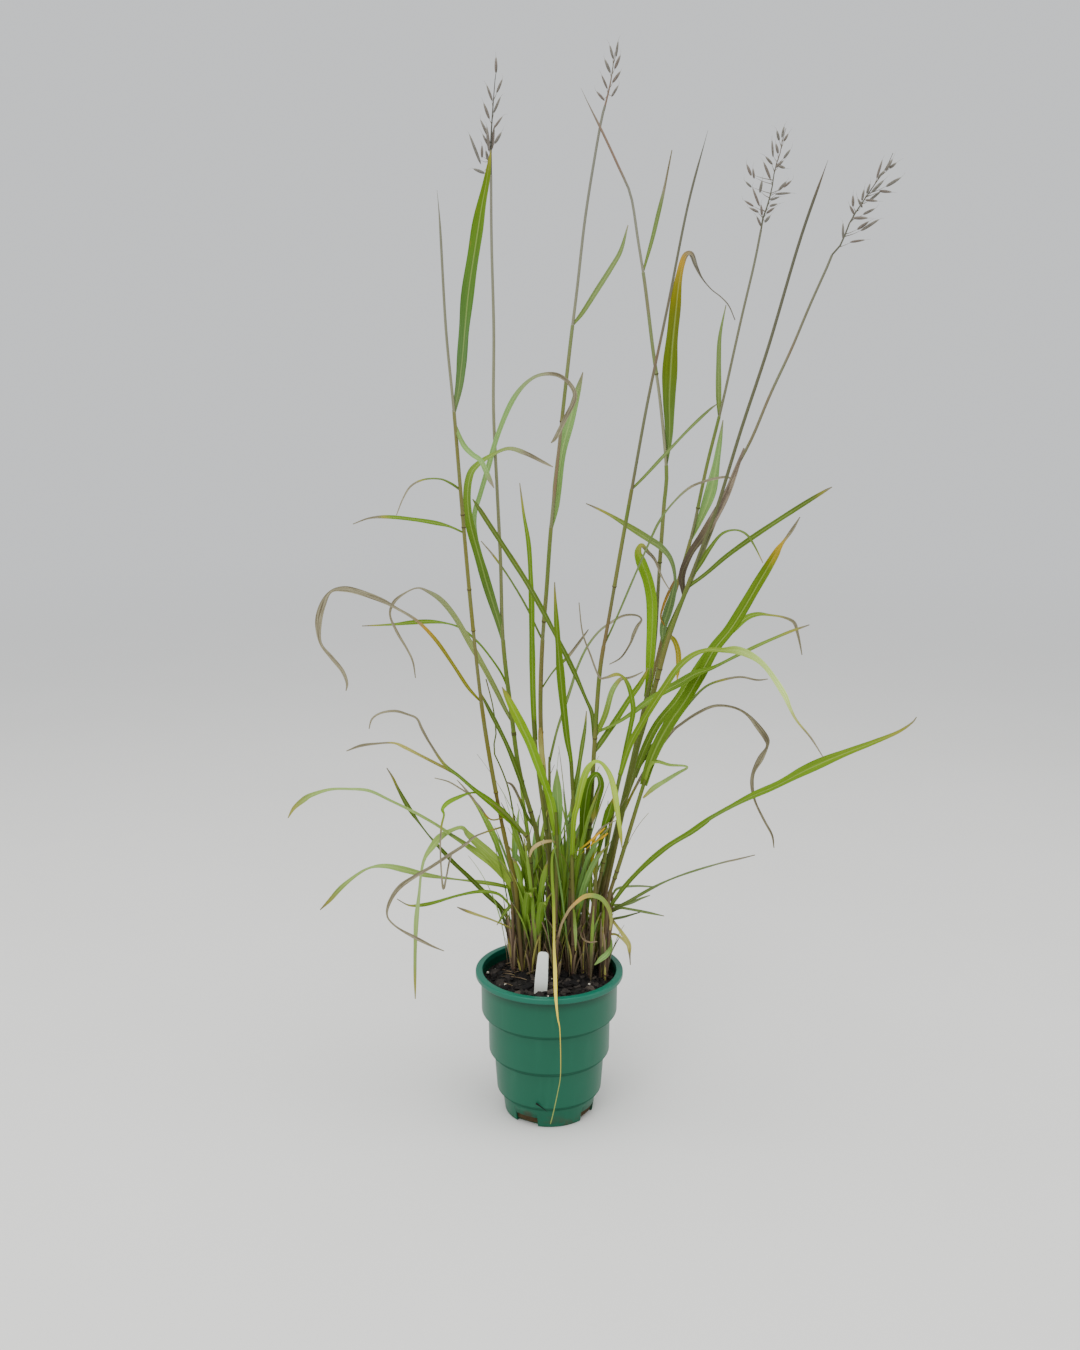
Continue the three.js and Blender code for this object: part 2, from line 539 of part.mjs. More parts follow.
stem('shoot_yellow_arch', [577, 47], 30, [2.2, 1.7], [[600, 890], [612, 845], [624, 805],
  [637.5, 768]]);
leaf('gold', 70, [[634, 777, 6], [645, 748, 8], [658, 723, 8], [676.5, 700.6, 8], [693, 675, 8],
  [707, 655, 8], [720, 640, 8], [732.7, 629, 8], [746, 618, 6], [758, 614, 4], [770, 615, 2.2],
  [784, 617.4, 2.5], [794, 622.5, 3.5], [797.5, 633, 3], [800, 644, 2], [802, 655, 1]]);
leaf('green', 60, [[637, 768, 5], [652, 747, 5], [674, 722, 4], [690, 702, 3], [706, 686.4, 2.5],
  [723.6, 679.7, 2.5], [741, 677, 2.2], [757, 680, 2], [768, 679, 1]]);
leaf('dry', 20, [[620, 820, 3], [634, 790, 3], [650, 762, 3], [671, 733, 3], [682, 723.4, 3],
  [697, 713.4, 3.2], [714, 706, 3], [732, 707, 2.5], [746.5, 714, 3], [758.6, 727.5, 6],
  [766.5, 739, 6], [767, 747, 3], [760.6, 758.4, 6.5], [753.5, 772, 4], [752, 785, 4],
  [755, 801, 2.5], [764, 820, 2.5], [772, 835, 2.3], [774, 848, 1]]);

stem('shoot_white_arch', [590, 10], -25, [2.2, 1.7], [[596, 895], [606, 850], [614, 805],
  [620, 775]]);
leaf('pale', -140, [[620, 775, 5], [629.4, 746, 6.5], [640, 726, 7], [652, 706, 7], [664.4, 687, 7],
  [677.5, 668, 6], [692, 655.5, 5.5], [707, 650, 4.5], [722, 650, 5], [735.4, 650, 8],
  [748, 654, 7.5], [760, 661.5, 6], [770.4, 673, 5.5], [784, 694, 5.5], [790, 708, 3.5],
  [797, 721, 2.5], [811, 738, 2], [823, 757, 1]]);
leaf('gold', -20, [[618, 785, 4], [626, 747.7, 5], [630.7, 726, 5], [633.3, 710, 5], [631, 694, 5],
  [627, 682.5, 4.5], [621.3, 675.7, 3], [615.4, 674.5, 4], [606, 677.6, 2.5], [599, 676.5, 2],
  [590.5, 655, 2], [582.4, 632, 1.6], [579, 602.5, 1]]);

stem('shoot_low_right', [605, 12], -4, [2.0, 1.6], [[607, 930], [610, 905]]);
leaf('lime', -70, [[610, 907, 3.5], [625, 886, 5], [645, 865, 5], [668, 846, 5.8], [690, 832.5, 6],
  [705, 822, 5], [712, 817, 4], [728, 808, 5], [749, 797, 6], [776.5, 785, 7.5], [801, 772, 10],
  [825, 761, 10], [850, 751, 7.5], [874, 742, 4.8], [898, 732, 3.5], [911.7, 723, 2],
  [916.6, 717, 1]]);

stem('tuft_right', [604, 20], 2, [2.0, 1.4], [[606, 930], [612, 905], [611, 890]]);
leaf('pale', -90, [[611, 910, 3.5], [627.5, 902, 3.5], [649, 889.7, 3], [669, 880, 2.2],
  [690.6, 872, 2], [721, 863, 2], [736.5, 859.5, 2], [755, 855, 1]]);
leaf('green', 40, [[612, 905, 3], [622, 905, 3], [631.5, 902.5, 3], [641, 898.4, 2.5],
  [650, 895.3, 1]]);
leaf('lime', -50, [[610, 912, 3], [620, 908, 3], [629, 909, 3], [645, 912, 2.7], [664, 916, 1]]);
leaf('green', -20, [[609, 919.5, 2.5], [623.4, 917, 2.5], [634, 914, 1.8], [641, 912, 1]]);
leaf('green', 70, [[611.5, 896, 2], [618, 888.3, 2.5], [635.6, 886, 2.5], [657, 887, 1]]);

stem('dry_right', [606, -6], -2, [1.6, 1.0], [[610, 935], [613, 918]]);
leaf('straw', 8, [[612, 920, 3], [619.4, 929.4, 3.5], [625, 937.5, 4.5], [629, 945.5, 5],
  [629.8, 956, 2], [630.4, 965, 1]]);
leaf('straw', 30, [[610, 934, 2.5], [616.7, 934.8, 2.5], [624.8, 941.5, 3], [630, 949, 1]]);

stem('dry_arch_front', [557.5, -12], -6, [1.4, 1.0], [[557, 955], [557.8, 937]]);
leaf('straw', -14, [[557.8, 940, 2.4], [561, 926, 2.5], [565.6, 916, 3], [572, 906.5, 3.5],
  [586, 896, 4.5], [600.6, 898, 4.5], [609, 909, 4.2], [611.3, 920, 3.5], [610, 930, 1.5]]);

stem('shoot_low_left', [531, 10], -20, [2.0, 1.2], [[533, 900], [529, 845], [518.5, 827],
  [505, 813.6], [490, 801], [476, 791.3], [465.5, 782], [454, 772]]);
leaf('lime', -60, [[524, 835, 3], [513, 823, 6], [503, 813, 8], [490, 801.5, 6.5], [476, 791, 4.5],
  [460, 777, 4], [444, 764, 2.8], [431, 745, 2.6], [422, 729, 3], [417, 718.7, 2.2],
  [408, 714.5, 2.3], [395, 711, 2.8], [381, 713, 2.2], [372, 719, 2], [369, 729, 1]]);
leaf('straw', -80, [[456, 774, 3.5], [443, 767, 3], [421, 755.7, 3.2], [404, 747, 3.5],
  [393, 743, 1.8], [378, 743.5, 2.2], [361, 745.6, 3], [346.5, 751, 1]]);
leaf('lime', -55, [[478, 793, 2], [470, 793, 2], [459, 797, 4], [448, 802.5, 5], [442.5, 809, 3.5],
  [444, 815, 2], [441.5, 826, 2], [440.3, 846, 1.8], [441.5, 874, 2], [443.5, 889, 2.5],
  [446.5, 876, 2], [449.5, 861, 2], [452, 854, 1]]);
leaf('straw', 24, [[508, 816, 2], [491, 819.6, 1.8], [479, 805.5, 1.8], [468, 794, 1.8],
  [459.5, 788, 1.8], [448, 781.5, 1.6], [434.6, 778, 1]]);

stem('shoot_bent', [518, 28], -12, [2.4, 1.8], [[518, 915], [512, 882]]);
leaf('pale', -85, [[512, 884, 8], [500, 866.5, 11], [490, 854.6, 10.5], [478, 843.5, 8.5],
  [468, 834.4, 5.5], [461.5, 827.7, 4], [451, 830.5, 5], [440, 837, 8], [433, 845.5, 6.5],
  [425, 857.5, 3.2], [421.3, 872, 2.8], [419, 895, 3.6], [416.3, 920, 4.4], [415.2, 950, 4.2],
  [415, 975, 3], [415.3, 999, 1]]);
leaf('pale', -110, [[513, 886, 7], [495, 865.5, 9], [480, 854.5, 7.5], [462, 842, 4.5],
  [449.4, 833.7, 4], [434.6, 823.6, 3], [413, 811.5, 3], [391.5, 801, 2.8], [370, 791, 3],
  [350, 789, 2.6], [330, 789.4, 3], [312, 794.7, 4.5], [304, 799.4, 6], [294, 808, 4],
  [288, 818, 1]]);

stem('shoot_long_left', [512, 40], 4, [2.0, 1.6], [[511, 935], [508, 918]]);
leaf('green', -60, [[508, 920, 3], [501, 908, 4.5], [485.7, 893.6, 5], [470, 878, 5],
  [454, 863, 4.5], [440, 848, 3.5], [429, 835.7, 2], [418.4, 821.6, 2.5], [407.7, 806, 5],
  [398, 788.5, 3.2], [393, 778, 2.5], [386.8, 768, 1]]);

stem('shoot_left_back', [522, 46], 10, [2.0, 1.6], [[521, 920], [517, 888]]);
leaf('blue', -40, [[517, 890, 3], [499, 885, 4], [480, 882, 4], [462, 880, 2.2], [444, 877.7, 2.8],
  [424, 874.5, 5], [404, 869.5, 7.2], [386, 866, 5], [371, 867.4, 2.2], [358, 874, 3],
  [341.7, 887, 5], [330, 900, 4.2], [320, 910, 1]]);

stem('shoot_left_front', [514, 12], -6, [1.8, 1.3], [[513, 928], [512, 903]]);
leaf('lime', -20, [[512, 908, 2], [499, 894.3, 3], [480, 891.5, 3.2], [458, 895.5, 3],
  [436, 902, 3.4], [422, 905, 3.6], [409, 905.3, 1.8], [397, 899, 1]]);
leaf('straw', -14, [[513, 929, 1.6], [492.5, 920, 2], [475, 914, 3], [464, 910, 2.8],
  [457, 907, 1]]);
leaf('green', -20, [[512, 905, 3], [506, 911, 4], [497, 925, 1]]);

stem('dry_thin_left', [530, 54], 20, [1.4, 0.7], [[527, 885], [524.4, 848.7], [515, 821.7],
  [509, 790.7], [501.5, 769], [493.5, 750.4], [496, 734], [493, 707], [486, 679]]);

stem('shoot_folded', [573, 0], -10, [2.0, 1.6], [[573, 905], [572, 855]]);
leaf('pale', -14, [[573, 900, 2], [574.5, 918, 3], [575.5, 935, 3], [575.5, 951, 1]]);
leaf('pale', -44, [[572, 858, 4.5], [574, 820, 5], [577.5, 805, 6], [581, 788, 7], [586, 772, 6.5],
  [592, 763.5, 4], [598, 761.5, 3], [604, 765.5, 4], [610.5, 776.5, 6], [615, 794, 6.5],
  [617.5, 812, 5], [620.5, 833, 4], [622, 848, 1]]);

stem('shoot_dark_fold', [583, 7], 3, [2.0, 1.6], [[584, 900], [583, 845]]);
leaf('green', -8, [[583, 848, 7], [584, 815, 9.5], [587, 790, 9], [591.5, 778, 7],
  [597.5, 774.5, 6], [601, 784, 7], [597.5, 798, 8], [594.4, 810, 7.5], [592.5, 824, 1]]);

stem('shoot_short_right', [590, -6], -6, [2.0, 1.5], [[594, 900], [598, 852]]);
leaf('lime', -6, [[598, 856, 3], [604, 826, 6], [609, 812, 9], [613, 798, 1]]);
leaf('straw', -14, [[595, 880, 3], [592, 848, 4], [598.4, 829, 5], [606.5, 824.4, 4],
  [616, 820.5, 1]]);

stem('arch_centre', [546, 26], 6, [2.0, 1.2], [[549, 880], [550, 830], [549.5, 785], [549.3, 757]]);
leaf('green', 24, [[549.3, 762, 3], [556.7, 731.5, 2.6], [563, 712, 3], [571.5, 686, 3],
  [577, 668.4, 2.6], [587, 647, 2.2], [599, 631.4, 2.2], [611, 622.5, 2.5], [623.5, 615.7, 2.5],
  [636, 615.2, 2], [641.5, 619.5, 2], [637.5, 626, 3.4], [633.5, 634.5, 3.6], [630, 644, 2.2],
  [621, 657.5, 1.8], [609.3, 664.4, 1]]);

// Young shoots that show only as short strokes in the clump: a name, [x, y] of the foot, the height
// of the stem, the compass direction that it leans to, and the seed of its leaves.
const shoots = [];
function shoot(name, foot, height, turn, seed) {
  shoots.push({ name, foot, height, turn, seed });
}

shoot('young_back_left', [-38, 55], 55, 110, 1);
shoot('young_back_a', [-12, 63], 60, 95, 5);
shoot('young_back_b', [12, 65], 50, 90, 5);
shoot('young_back_c', [14, 48], 70, 80, 1);
shoot('young_back_right', [27, 62], 50, 70, 5);
shoot('young_mid_a', [18, 36], 75, 85, 2);
shoot('young_mid_b', [-18, 31], 70, 100, 10);
shoot('young_mid_c', [28, 22], 80, 270, 37);
shoot('young_left', [-26, 21], 60, 250, 51);
shoot('young_front', [-12, 12], 55, 265, 27);

// Seed heads: each on the top of its culm, an axis through [column, row] points and spikelets from
// one [column, row] to another, which leave the axis in turn to the front and to the back.
const heads = [];
function head(name, culm, lean, axis, spikelets) {
  heads.push({ name, culm, lean, axis, spikelets });
}

head('head_left', 'culm_left', 6, [[491, 160], [491, 140], [492, 120], [493.5, 100], [495, 80],
  [497, 66]], [[484, 173, 474, 169], [480, 162, 470, 136], [482, 157, 482, 146],
  [488, 160, 486, 151], [488, 145, 483, 135], [489, 150, 487, 128], [492, 148, 494, 128],
  [495, 143, 501, 133], [488, 136, 481, 121], [494, 128, 502, 117], [489, 118, 484, 104],
  [494, 112, 500, 98], [492, 100, 487, 86], [497, 92, 502, 80], [496, 72, 496, 58]]);

head('head_mid', 'culm_mid_left', 6, [[608, 94], [611, 80], [613, 66], [615, 52]],
  [[604, 100, 597, 92], [612, 96, 618, 86], [607, 88, 602, 76], [613, 82, 620, 72],
  [610, 72, 605, 60], [615, 68, 620, 56], [613, 58, 610, 46], [616, 56, 618, 42]]);

head('head_right', 'culm_right_back', 10, [[763, 218], [766, 210], [769, 200], [772, 188],
  [775, 168], [779, 158], [782, 143], [786, 128]], [[751, 175, 747, 165], [754, 178, 753, 169],
  [751, 187, 746, 182], [753, 206, 745, 201], [758, 212, 750, 208], [760, 192, 762, 181],
  [759, 205, 753, 189], [762, 215, 761, 205], [761, 226, 757, 217], [770, 178, 764, 163],
  [772, 164, 766, 157], [773, 156, 772, 141], [779, 140, 777, 131], [778, 153, 776, 144],
  [782, 137, 784, 127], [784, 141, 788, 134], [784, 158, 790, 150], [776, 167, 783, 161],
  [779, 166, 785, 168], [779, 190, 786, 182], [784, 187, 791, 181], [776, 194, 790, 193],
  [771, 200, 779, 197], [770, 206, 777, 204], [767, 213, 774, 208], [765, 222, 770, 216]]);

head('head_far_right', 'culm_right', 6, [[836, 250], [842, 243], [846, 232], [850, 222], [854, 215],
  [866, 197], [877, 181], [886, 168], [893, 153]], [[853, 206, 853, 196], [854, 214, 850, 206],
  [862, 207, 858, 199], [862, 200, 864, 190], [867, 193, 870, 184], [872, 192, 883, 181],
  [870, 200, 880, 192], [866, 200, 877, 201], [880, 191, 891, 192], [887, 186, 900, 178],
  [878, 178, 884, 171], [877, 177, 882, 161], [886, 170, 892, 160], [890, 168, 896, 163],
  [864, 214, 874, 209], [854, 218, 867, 218], [858, 229, 868, 222], [862, 230, 878, 220],
  [851, 242, 864, 240], [843, 238, 843, 224]]);

// A stem's solid line: an upright foot in the soil, then the traced way up.
function stemLine({ foot: [column, depth], lean, points }) {
  const ground = footAt(column, depth);
  const last = points.at(-1)[1];
  const depthAt = (row) => depth + (lean * (soilRow - row)) / (soilRow - last);
  const way = traced(points, blade.coarse).map(({ x, y }) => seenAt(x, y, depthAt(y)));
  const low = ground.clone().setZ(soil.top - peg.deep);
  const high = ground.clone().setZ(soil.top + peg.high);
  return [low, high, ...way];
}

// The point of a stem's line that the photograph shows at row v.
function onStem(line, v) {
  const rowOf = (point) => {
    const away = point.clone().sub(eye);
    const dip = degrees(photo.dip);
    const depth = away.y * Math.cos(dip) - away.z * Math.sin(dip);
    const height = away.y * Math.sin(dip) + away.z * Math.cos(dip);
    return photo.high / 2 - (photo.focal * height) / depth;
  };
  const rows = line.map(rowOf);
  const i = THREE.MathUtils.clamp(rows.findIndex((row) => row <= v), 2, line.length - 1);
  const share = THREE.MathUtils.clamp((rows[i - 1] - v) / (rows[i - 1] - rows[i]), 0, 1);
  return line[i - 1].clone().lerp(line[i], share);
}

// The plain hole of a stem's foot, `gap` wider all round than the foot in it.
function hole([ground], radius) {
  const wide = radius + gap / Math.cos(Math.PI / stemSides);
  return prism(wide, ground.z - gap, soil.top + 4 * peg.high, ground.x, ground.y, stemSides);
}

const colours = {
  green: 0x6a8f3a,
  lime: 0x86aa3c,
  blue: 0x76986a,
  gold: 0x8f9a3e,
  pale: 0x93ad62,
  dry: 0xa58a62,
  head: 0x74584a,
};

function makeStems() {
  const holes = [];
  for (const it of stems) {
    const line = stemLine(it);
    let body = tube(line, it.girth, stemSides);
    const clearance = tube(line, it.girth, stemSides, gap);
    let dry = 0;
    for (const { finish, reach, points } of it.leaves) {
      const part = tracedLeaf(onStem(line, points[0][1]), reach, points);
      if (finish === 'dry') {
        // the cut also leaves a crumb on the stem's far side
        const [own] = part.subtract(clearance).decompose().sort((a, b) => b.volume() - a.volume());
        place(`${it.name}_dry_leaf_${++dry}`, own, colours.dry);
      }
      else body = body.add(part);
    }
    place(it.name, body, colours[it.leaves[0]?.finish] ?? colours.dry);
    holes.push(hole(line, it.girth[0]));
    it.top = line.at(-1);
    it.topRadius = it.girth[1];
    it.end = tangents(line).at(-1);
  }
  return holes;
}

// The leaves of a young shoot: long green ones up its stem, short dry ones round its foot.
function youngLeaves({ height, turn, seed }) {
  let state = seed * 7919;
  const draw = (low, high) => {
    state = (state * 1103515245 + 12345) % 2147483648;
    return low + ((high - low) * state) / 2147483648;
  };
  const green = Array.from({ length: young.leaves }, (_, i) => ({
    finish: 'green',
    up: height * (0.4 + (0.6 * i) / (young.leaves - 1)),
    turn: turn + draw(-40, 40),
    rise: draw(74, 88),
    bend: draw(25, 75),
    length: draw(90, 190),
    width: draw(5, 8),
  }));
  const dry = Array.from({ length: young.husks }, (_, i) => ({
    finish: 'straw',
    up: peg.high + draw(1, 6),
    turn: turn + 180 * i + draw(-60, 60),
    rise: draw(72, 86),
    bend: draw(5, 50),
    length: draw(35, 70),
    width: draw(4, 5),
  }));
  return [...green, ...dry];
}

function makeYoungShoots() {
  return shoots.map((it) => {
    const [x, y] = it.foot;
    const low = new THREE.Vector3(x, y, soil.top - peg.deep);
    const ground = new THREE.Vector3(x, y, soil.top);
    const out = new THREE.Vector3(Math.cos(degrees(it.turn)), Math.sin(degrees(it.turn)), 0);
    const at = (up) => ground.clone().addScaledVector(upward, up)
      .addScaledVector(out, Math.tan(degrees(young.tilt)) * Math.max(0, up - peg.high));
    const line = [low, at(peg.high), at(it.height / 2), at(it.height)];
    let body = tube(line, young.girth, stemSides);
    for (const one of youngLeaves(it)) body = body.add(youngLeaf(at(one.up), one));
    place(it.name, body, colours.green);
    return hole(line, young.girth[0]);
  });
}

function makeHeads() {
  for (const { name, culm, lean, axis, spikelets } of heads) {
    const { top, topRadius, end } = stems.find((it) => it.name === culm);
    const first = axis[0][1];
    const last = axis.at(-1)[1];
    const depthAt = (row) => top.y + (lean * (first - row)) / (first - last);
    const line = traced(axis, 1).map(({ x, y }) => seenAt(x, y, depthAt(y)));
    line.unshift(top.clone().addScaledVector(end, gap));
    let body = tube(line, [topRadius * 0.8, spikelet.tip], spikelet.sides);
    spikelets.forEach(([u, v, tipU, tipV], i) => {
      const out = Math.sin(i * spikelet.turn) * spikelet.spread;
      const nearest = line.slice(1).reduce((best, p) => {
        const away = (q) => Math.abs(seenAt(u, v + spikelet.drop, top.y).z - q.z);
        return away(p) < away(best) ? p : best;
      });
      const base = seenAt(u, v, nearest.y + out * 0.6);
      const tip = seenAt(tipU, tipV, nearest.y + out);
      const waist = base.lerp(tip, spikelet.waist);
      body = body.add(spindle([nearest, waist, tip], [spikelet.stalk, spikelet.body, spikelet.tip]));
    });
    place(name, body, colours.head, 0.85);
  }
}

// A slim body along a line with a radius at each of its points.
function spindle(line, radii) {
  const rings = tangents(line).map((along, i) => {
    const side = new THREE.Vector3(0, 1, 0).cross(along).normalize();
    const other = along.clone().cross(side);
    return Array.from({ length: spikelet.sides }, (_, k) => {
      const turn = (k / spikelet.sides) * 2 * Math.PI;
      return line[i].clone()
        .addScaledVector(side, radii[i] * Math.cos(turn))
        .addScaledVector(other, radii[i] * Math.sin(turn));
    });
  });
  return solid(loft(rings));
}

makePot();
const slot = makeLabel();
const holes = [...makeStems(), ...makeYoungShoots()];
makeHeads();
makeSoil([...holes, slot]);

export default group;
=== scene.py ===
# %% [markdown]
# # Potted indian grass
# A clump of indian grass stands in dark bark soil, in a stepped green nursery pot with a white tag.
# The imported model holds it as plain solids: stems with five sides, blades with a few facets. Here each
# solid is replaced by a finer piece that keeps to the same line, so that the finish can show sheaths,
# veins, folds, dry tips and bark. Nothing is moved: the new pieces are worked out in the same frame.

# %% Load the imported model
from math import cos, pi, radians, sin, tan

import bmesh
import bpy
import numpy as np
from mathutils import Matrix, Vector


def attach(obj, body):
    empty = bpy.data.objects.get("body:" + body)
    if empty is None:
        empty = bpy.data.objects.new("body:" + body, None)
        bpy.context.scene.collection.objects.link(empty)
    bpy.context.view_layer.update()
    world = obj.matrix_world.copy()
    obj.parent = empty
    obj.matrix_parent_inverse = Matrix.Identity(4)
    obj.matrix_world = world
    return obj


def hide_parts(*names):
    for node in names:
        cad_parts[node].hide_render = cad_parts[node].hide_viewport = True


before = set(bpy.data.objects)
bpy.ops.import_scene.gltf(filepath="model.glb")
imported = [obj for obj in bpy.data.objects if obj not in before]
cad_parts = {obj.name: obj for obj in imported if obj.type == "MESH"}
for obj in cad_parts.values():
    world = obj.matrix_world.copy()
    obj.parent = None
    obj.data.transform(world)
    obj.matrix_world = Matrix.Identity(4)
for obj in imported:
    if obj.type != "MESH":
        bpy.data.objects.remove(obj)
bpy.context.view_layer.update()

SOIL_TOP = 0.158
print("nodes in the packed model:", len(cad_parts))

# %% [markdown]
# ## The camera, and points along its lines of sight
# The plant was traced from one picture, so each line is a list of picture points [column, row]. A camera
# with a known place and focal length turns such a point into a line of sight, and a depth y picks the
# point on that line. Tracing by hand in 3-D would be the other way. This one is exact from the front,
# and the depths are chosen so that the clump is full and round from every other side.

# %% Camera and sight lines
WIDE, HIGH, FOCAL = 1080, 1350, 1500.0
EYE = np.array([0.0, -1.560, 0.862])
DIP, YAW = radians(12.94), radians(0.38)


def sight(u, v):
    """Direction of picture point (u, v): its offsets from the middle over the focal length, dipped
    about X and then turned about Z."""
    across = (np.asarray(u, float) - WIDE / 2) / FOCAL
    rise = (HIGH / 2 - np.asarray(v, float)) / FOCAL
    ahead = cos(DIP) + rise * sin(DIP)
    lift = rise * cos(DIP) - sin(DIP)
    return np.stack([across * cos(YAW) - ahead * sin(YAW), across * sin(YAW) + ahead * cos(YAW), lift], -1)


def seen_at(u, v, y):
    """The point at depth y on the line of sight: eye + ray * (y - eye.y) / ray.y."""
    ray = sight(u, v)
    return EYE + ray * ((y - EYE[1]) / ray[..., 1])[..., None]


def pixel_at(y):
    """Metres that one picture point covers at depth y: the distance over the focal length."""
    return (y - EYE[1]) / FOCAL


def row_of(points):
    """The picture row of 3-D points: the height over the depth, both in the dipped camera's own axes."""
    away = points - EYE
    depth = away[:, 1] * cos(DIP) - away[:, 2] * sin(DIP)
    height = away[:, 1] * sin(DIP) + away[:, 2] * cos(DIP)
    return HIGH / 2 - FOCAL * height / depth


def put(name, data):
    """A new object of the scene, at the origin and unturned."""
    made = bpy.data.objects.new(name, data)
    bpy.context.scene.collection.objects.link(made)
    return made


lens = bpy.data.cameras.new("camera")
lens.sensor_width = 36.0
lens.lens = lens.sensor_width * FOCAL / HIGH
camera = put("camera", lens)
camera.location = EYE
camera.rotation_euler = (pi / 2 - DIP, 0, YAW)
bpy.context.scene.camera = camera
print("lens, mm:", round(lens.lens, 1))

# %% [markdown]
# ## Lines and grids
# Stems and blades are all one kind of surface: rings of points carried along a line. The line is a
# Catmull-Rom curve, because it passes through every traced point, which a Bezier or B-spline curve
# wouldn't do. The rings are whole numpy arrays, and one function joins any such grid into quads.

# %% Smooth lines
def smooth(points, steps):
    """Catmull-Rom through the points: b + s*w + (3(c-b) - 2s - e)*w^2 + (2(b-c) + s + e)*w^3 between b
    and c, with slopes s and e half the way between the neighbours, and `steps` points for each pair."""
    points = np.asarray(points, float)
    padded = np.vstack([2 * points[0] - points[1], points, 2 * points[-1] - points[-2]])
    b, c = padded[1:-2, None], padded[2:-1, None]
    s, e = (c - padded[:-3, None]) / 2, (padded[3:, None] - b) / 2
    w = (np.arange(steps) / steps)[None, :, None]
    grid = b + s * w + (3 * (c - b) - 2 * s - e) * w**2 + (2 * (b - c) + s + e) * w**3
    return np.vstack([grid.reshape(-1, points.shape[1]), points[-1:]])


def unit(vectors):
    """Vectors over their own lengths."""
    return vectors / np.maximum(np.linalg.norm(vectors, axis=-1, keepdims=True), 1e-12)


def distances(line):
    """How far along the line each of its points lies: the running sum of the steps' lengths."""
    return np.concatenate([[0.0], np.cumsum(np.linalg.norm(np.diff(line, axis=0), axis=1))])


def tangents(line):
    """Direction of the line at each point: from the point before to the point after."""
    return unit(np.vstack([line[1:2], line[2:], line[-1:]]) - np.vstack([line[:1], line[:-2], line[-2:-1]]))


def resample(line, stations):
    """Points of the line at given distances from its start, straight between its own points."""
    along = distances(line)
    return np.stack([np.interp(stations, along, line[:, k]) for k in range(3)], -1)


print("rings of a line through 3 points, 6 steps each:", len(smooth([[0, 0], [1, 2], [3, 1]], 6)))

# %% Grids of points become one closed mesh
MARKS = ("across", "share", "along", "tint", "mark")
MADE = []


def tell(step):
    """Prints how many pieces a step has made, and their faces."""
    print(f"{step}: {len(MADE)} pieces with {sum(MADE)} faces")
    MADE.clear()


def skin(rows, around):
    """Quads (i, j), (i, j+1), (i+1, j+1), (i+1, j) round a grid of rings, and strips that join the two
    halves of the first and the last ring, so that the ends are closed."""
    ids = np.arange(rows * around).reshape(rows, around)
    turned = np.roll(ids, -1, axis=1)
    sides = np.stack([ids[:-1], turned[:-1], turned[1:], ids[1:]], -1).reshape(-1, 4)
    k = np.arange(around // 2 - 1)
    strip = np.stack([k, around - 1 - k, around - 2 - k, k + 1], -1)
    return np.vstack([sides, strip, strip[:, ::-1] + (rows - 1) * around])


def enclosed(points, faces):
    """Volume inside quads that face outwards: a sum of a . (b x c) over their triangles, over six."""
    a, b, c, d = (points[faces[:, k]] for k in range(4))
    return (np.sum(a * np.cross(b, c)) + np.sum(a * np.cross(c, d))) / 6


class Piece:
    """Closed grid surfaces that become one mesh. Each has a finish, and marks that its finish reads."""

    def __init__(self):
        self.points, self.faces, self.owners, self.finishes, self.count = [], [], [], [], 0
        self.marks = {name: [] for name in MARKS}

    def add(self, rings, finish, **marks):
        """Adds rings of points, an array of rows x around x 3. Marks spread over the same grid."""
        rows, around, _ = rings.shape
        points, faces = rings.reshape(-1, 3), skin(rows, around)
        if enclosed(points - points[0], faces) < 0:
            faces = faces[:, ::-1]
        if finish not in self.finishes:
            self.finishes.append(finish)
        self.points.append(points)
        self.faces.append(faces + self.count)
        self.owners.append(np.full(len(faces), self.finishes.index(finish)))
        self.count += len(points)
        for name in MARKS:
            self.marks[name].append(np.broadcast_to(marks.get(name, 0.0), (rows, around)).ravel())

    def build(self, name, *nodes, crisp=50):
        """Makes the mesh, welds doubled points, and marks edges sharper than `crisp` degrees."""
        mesh = bpy.data.meshes.new(name)
        mesh.from_pydata(np.vstack(self.points).tolist(), [], np.vstack(self.faces).tolist())
        mesh.polygons.foreach_set("material_index", np.concatenate(self.owners))
        for mark, values in self.marks.items():
            layer = mesh.attributes.new(mark, "FLOAT", "POINT")
            layer.data.foreach_set("value", np.concatenate(values).astype(np.float32))
        welded = bmesh.new()
        welded.from_mesh(mesh)
        bmesh.ops.remove_doubles(welded, verts=welded.verts, dist=1e-7)
        welded.to_mesh(mesh)
        welded.free()
        mesh.shade_smooth()
        mesh.set_sharp_from_angle(angle=radians(crisp))
        for finish in self.finishes:
            mesh.materials.append(FINISHES[finish])
        made = put(name, mesh)
        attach(made, "root")
        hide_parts(*nodes)
        MADE.append(len(mesh.polygons))
        return made


print("quads of a closed tube with 5 rings of 12 points:", len(skin(5, 12)))

# %% [markdown]
# ## Finishes as Python expressions
# A shader is a graph of nodes, and wiring one by hand hides the sum that it works out. The class below
# wraps a socket, so that `1 - across * 2` adds the Math nodes for it. Colours go through Mix nodes.

# %% Colours and numbers
def paint(red, green, blue):
    """A colour of 0-255 screen values as linear light: ((c + 0.055) / 1.055) ^ 2.4."""
    screen = np.array([red, green, blue]) / 255
    linear = np.where(screen > 0.04045, ((screen + 0.055) / 1.055) ** 2.4, screen / 12.92)
    return (*linear.tolist(), 1.0)


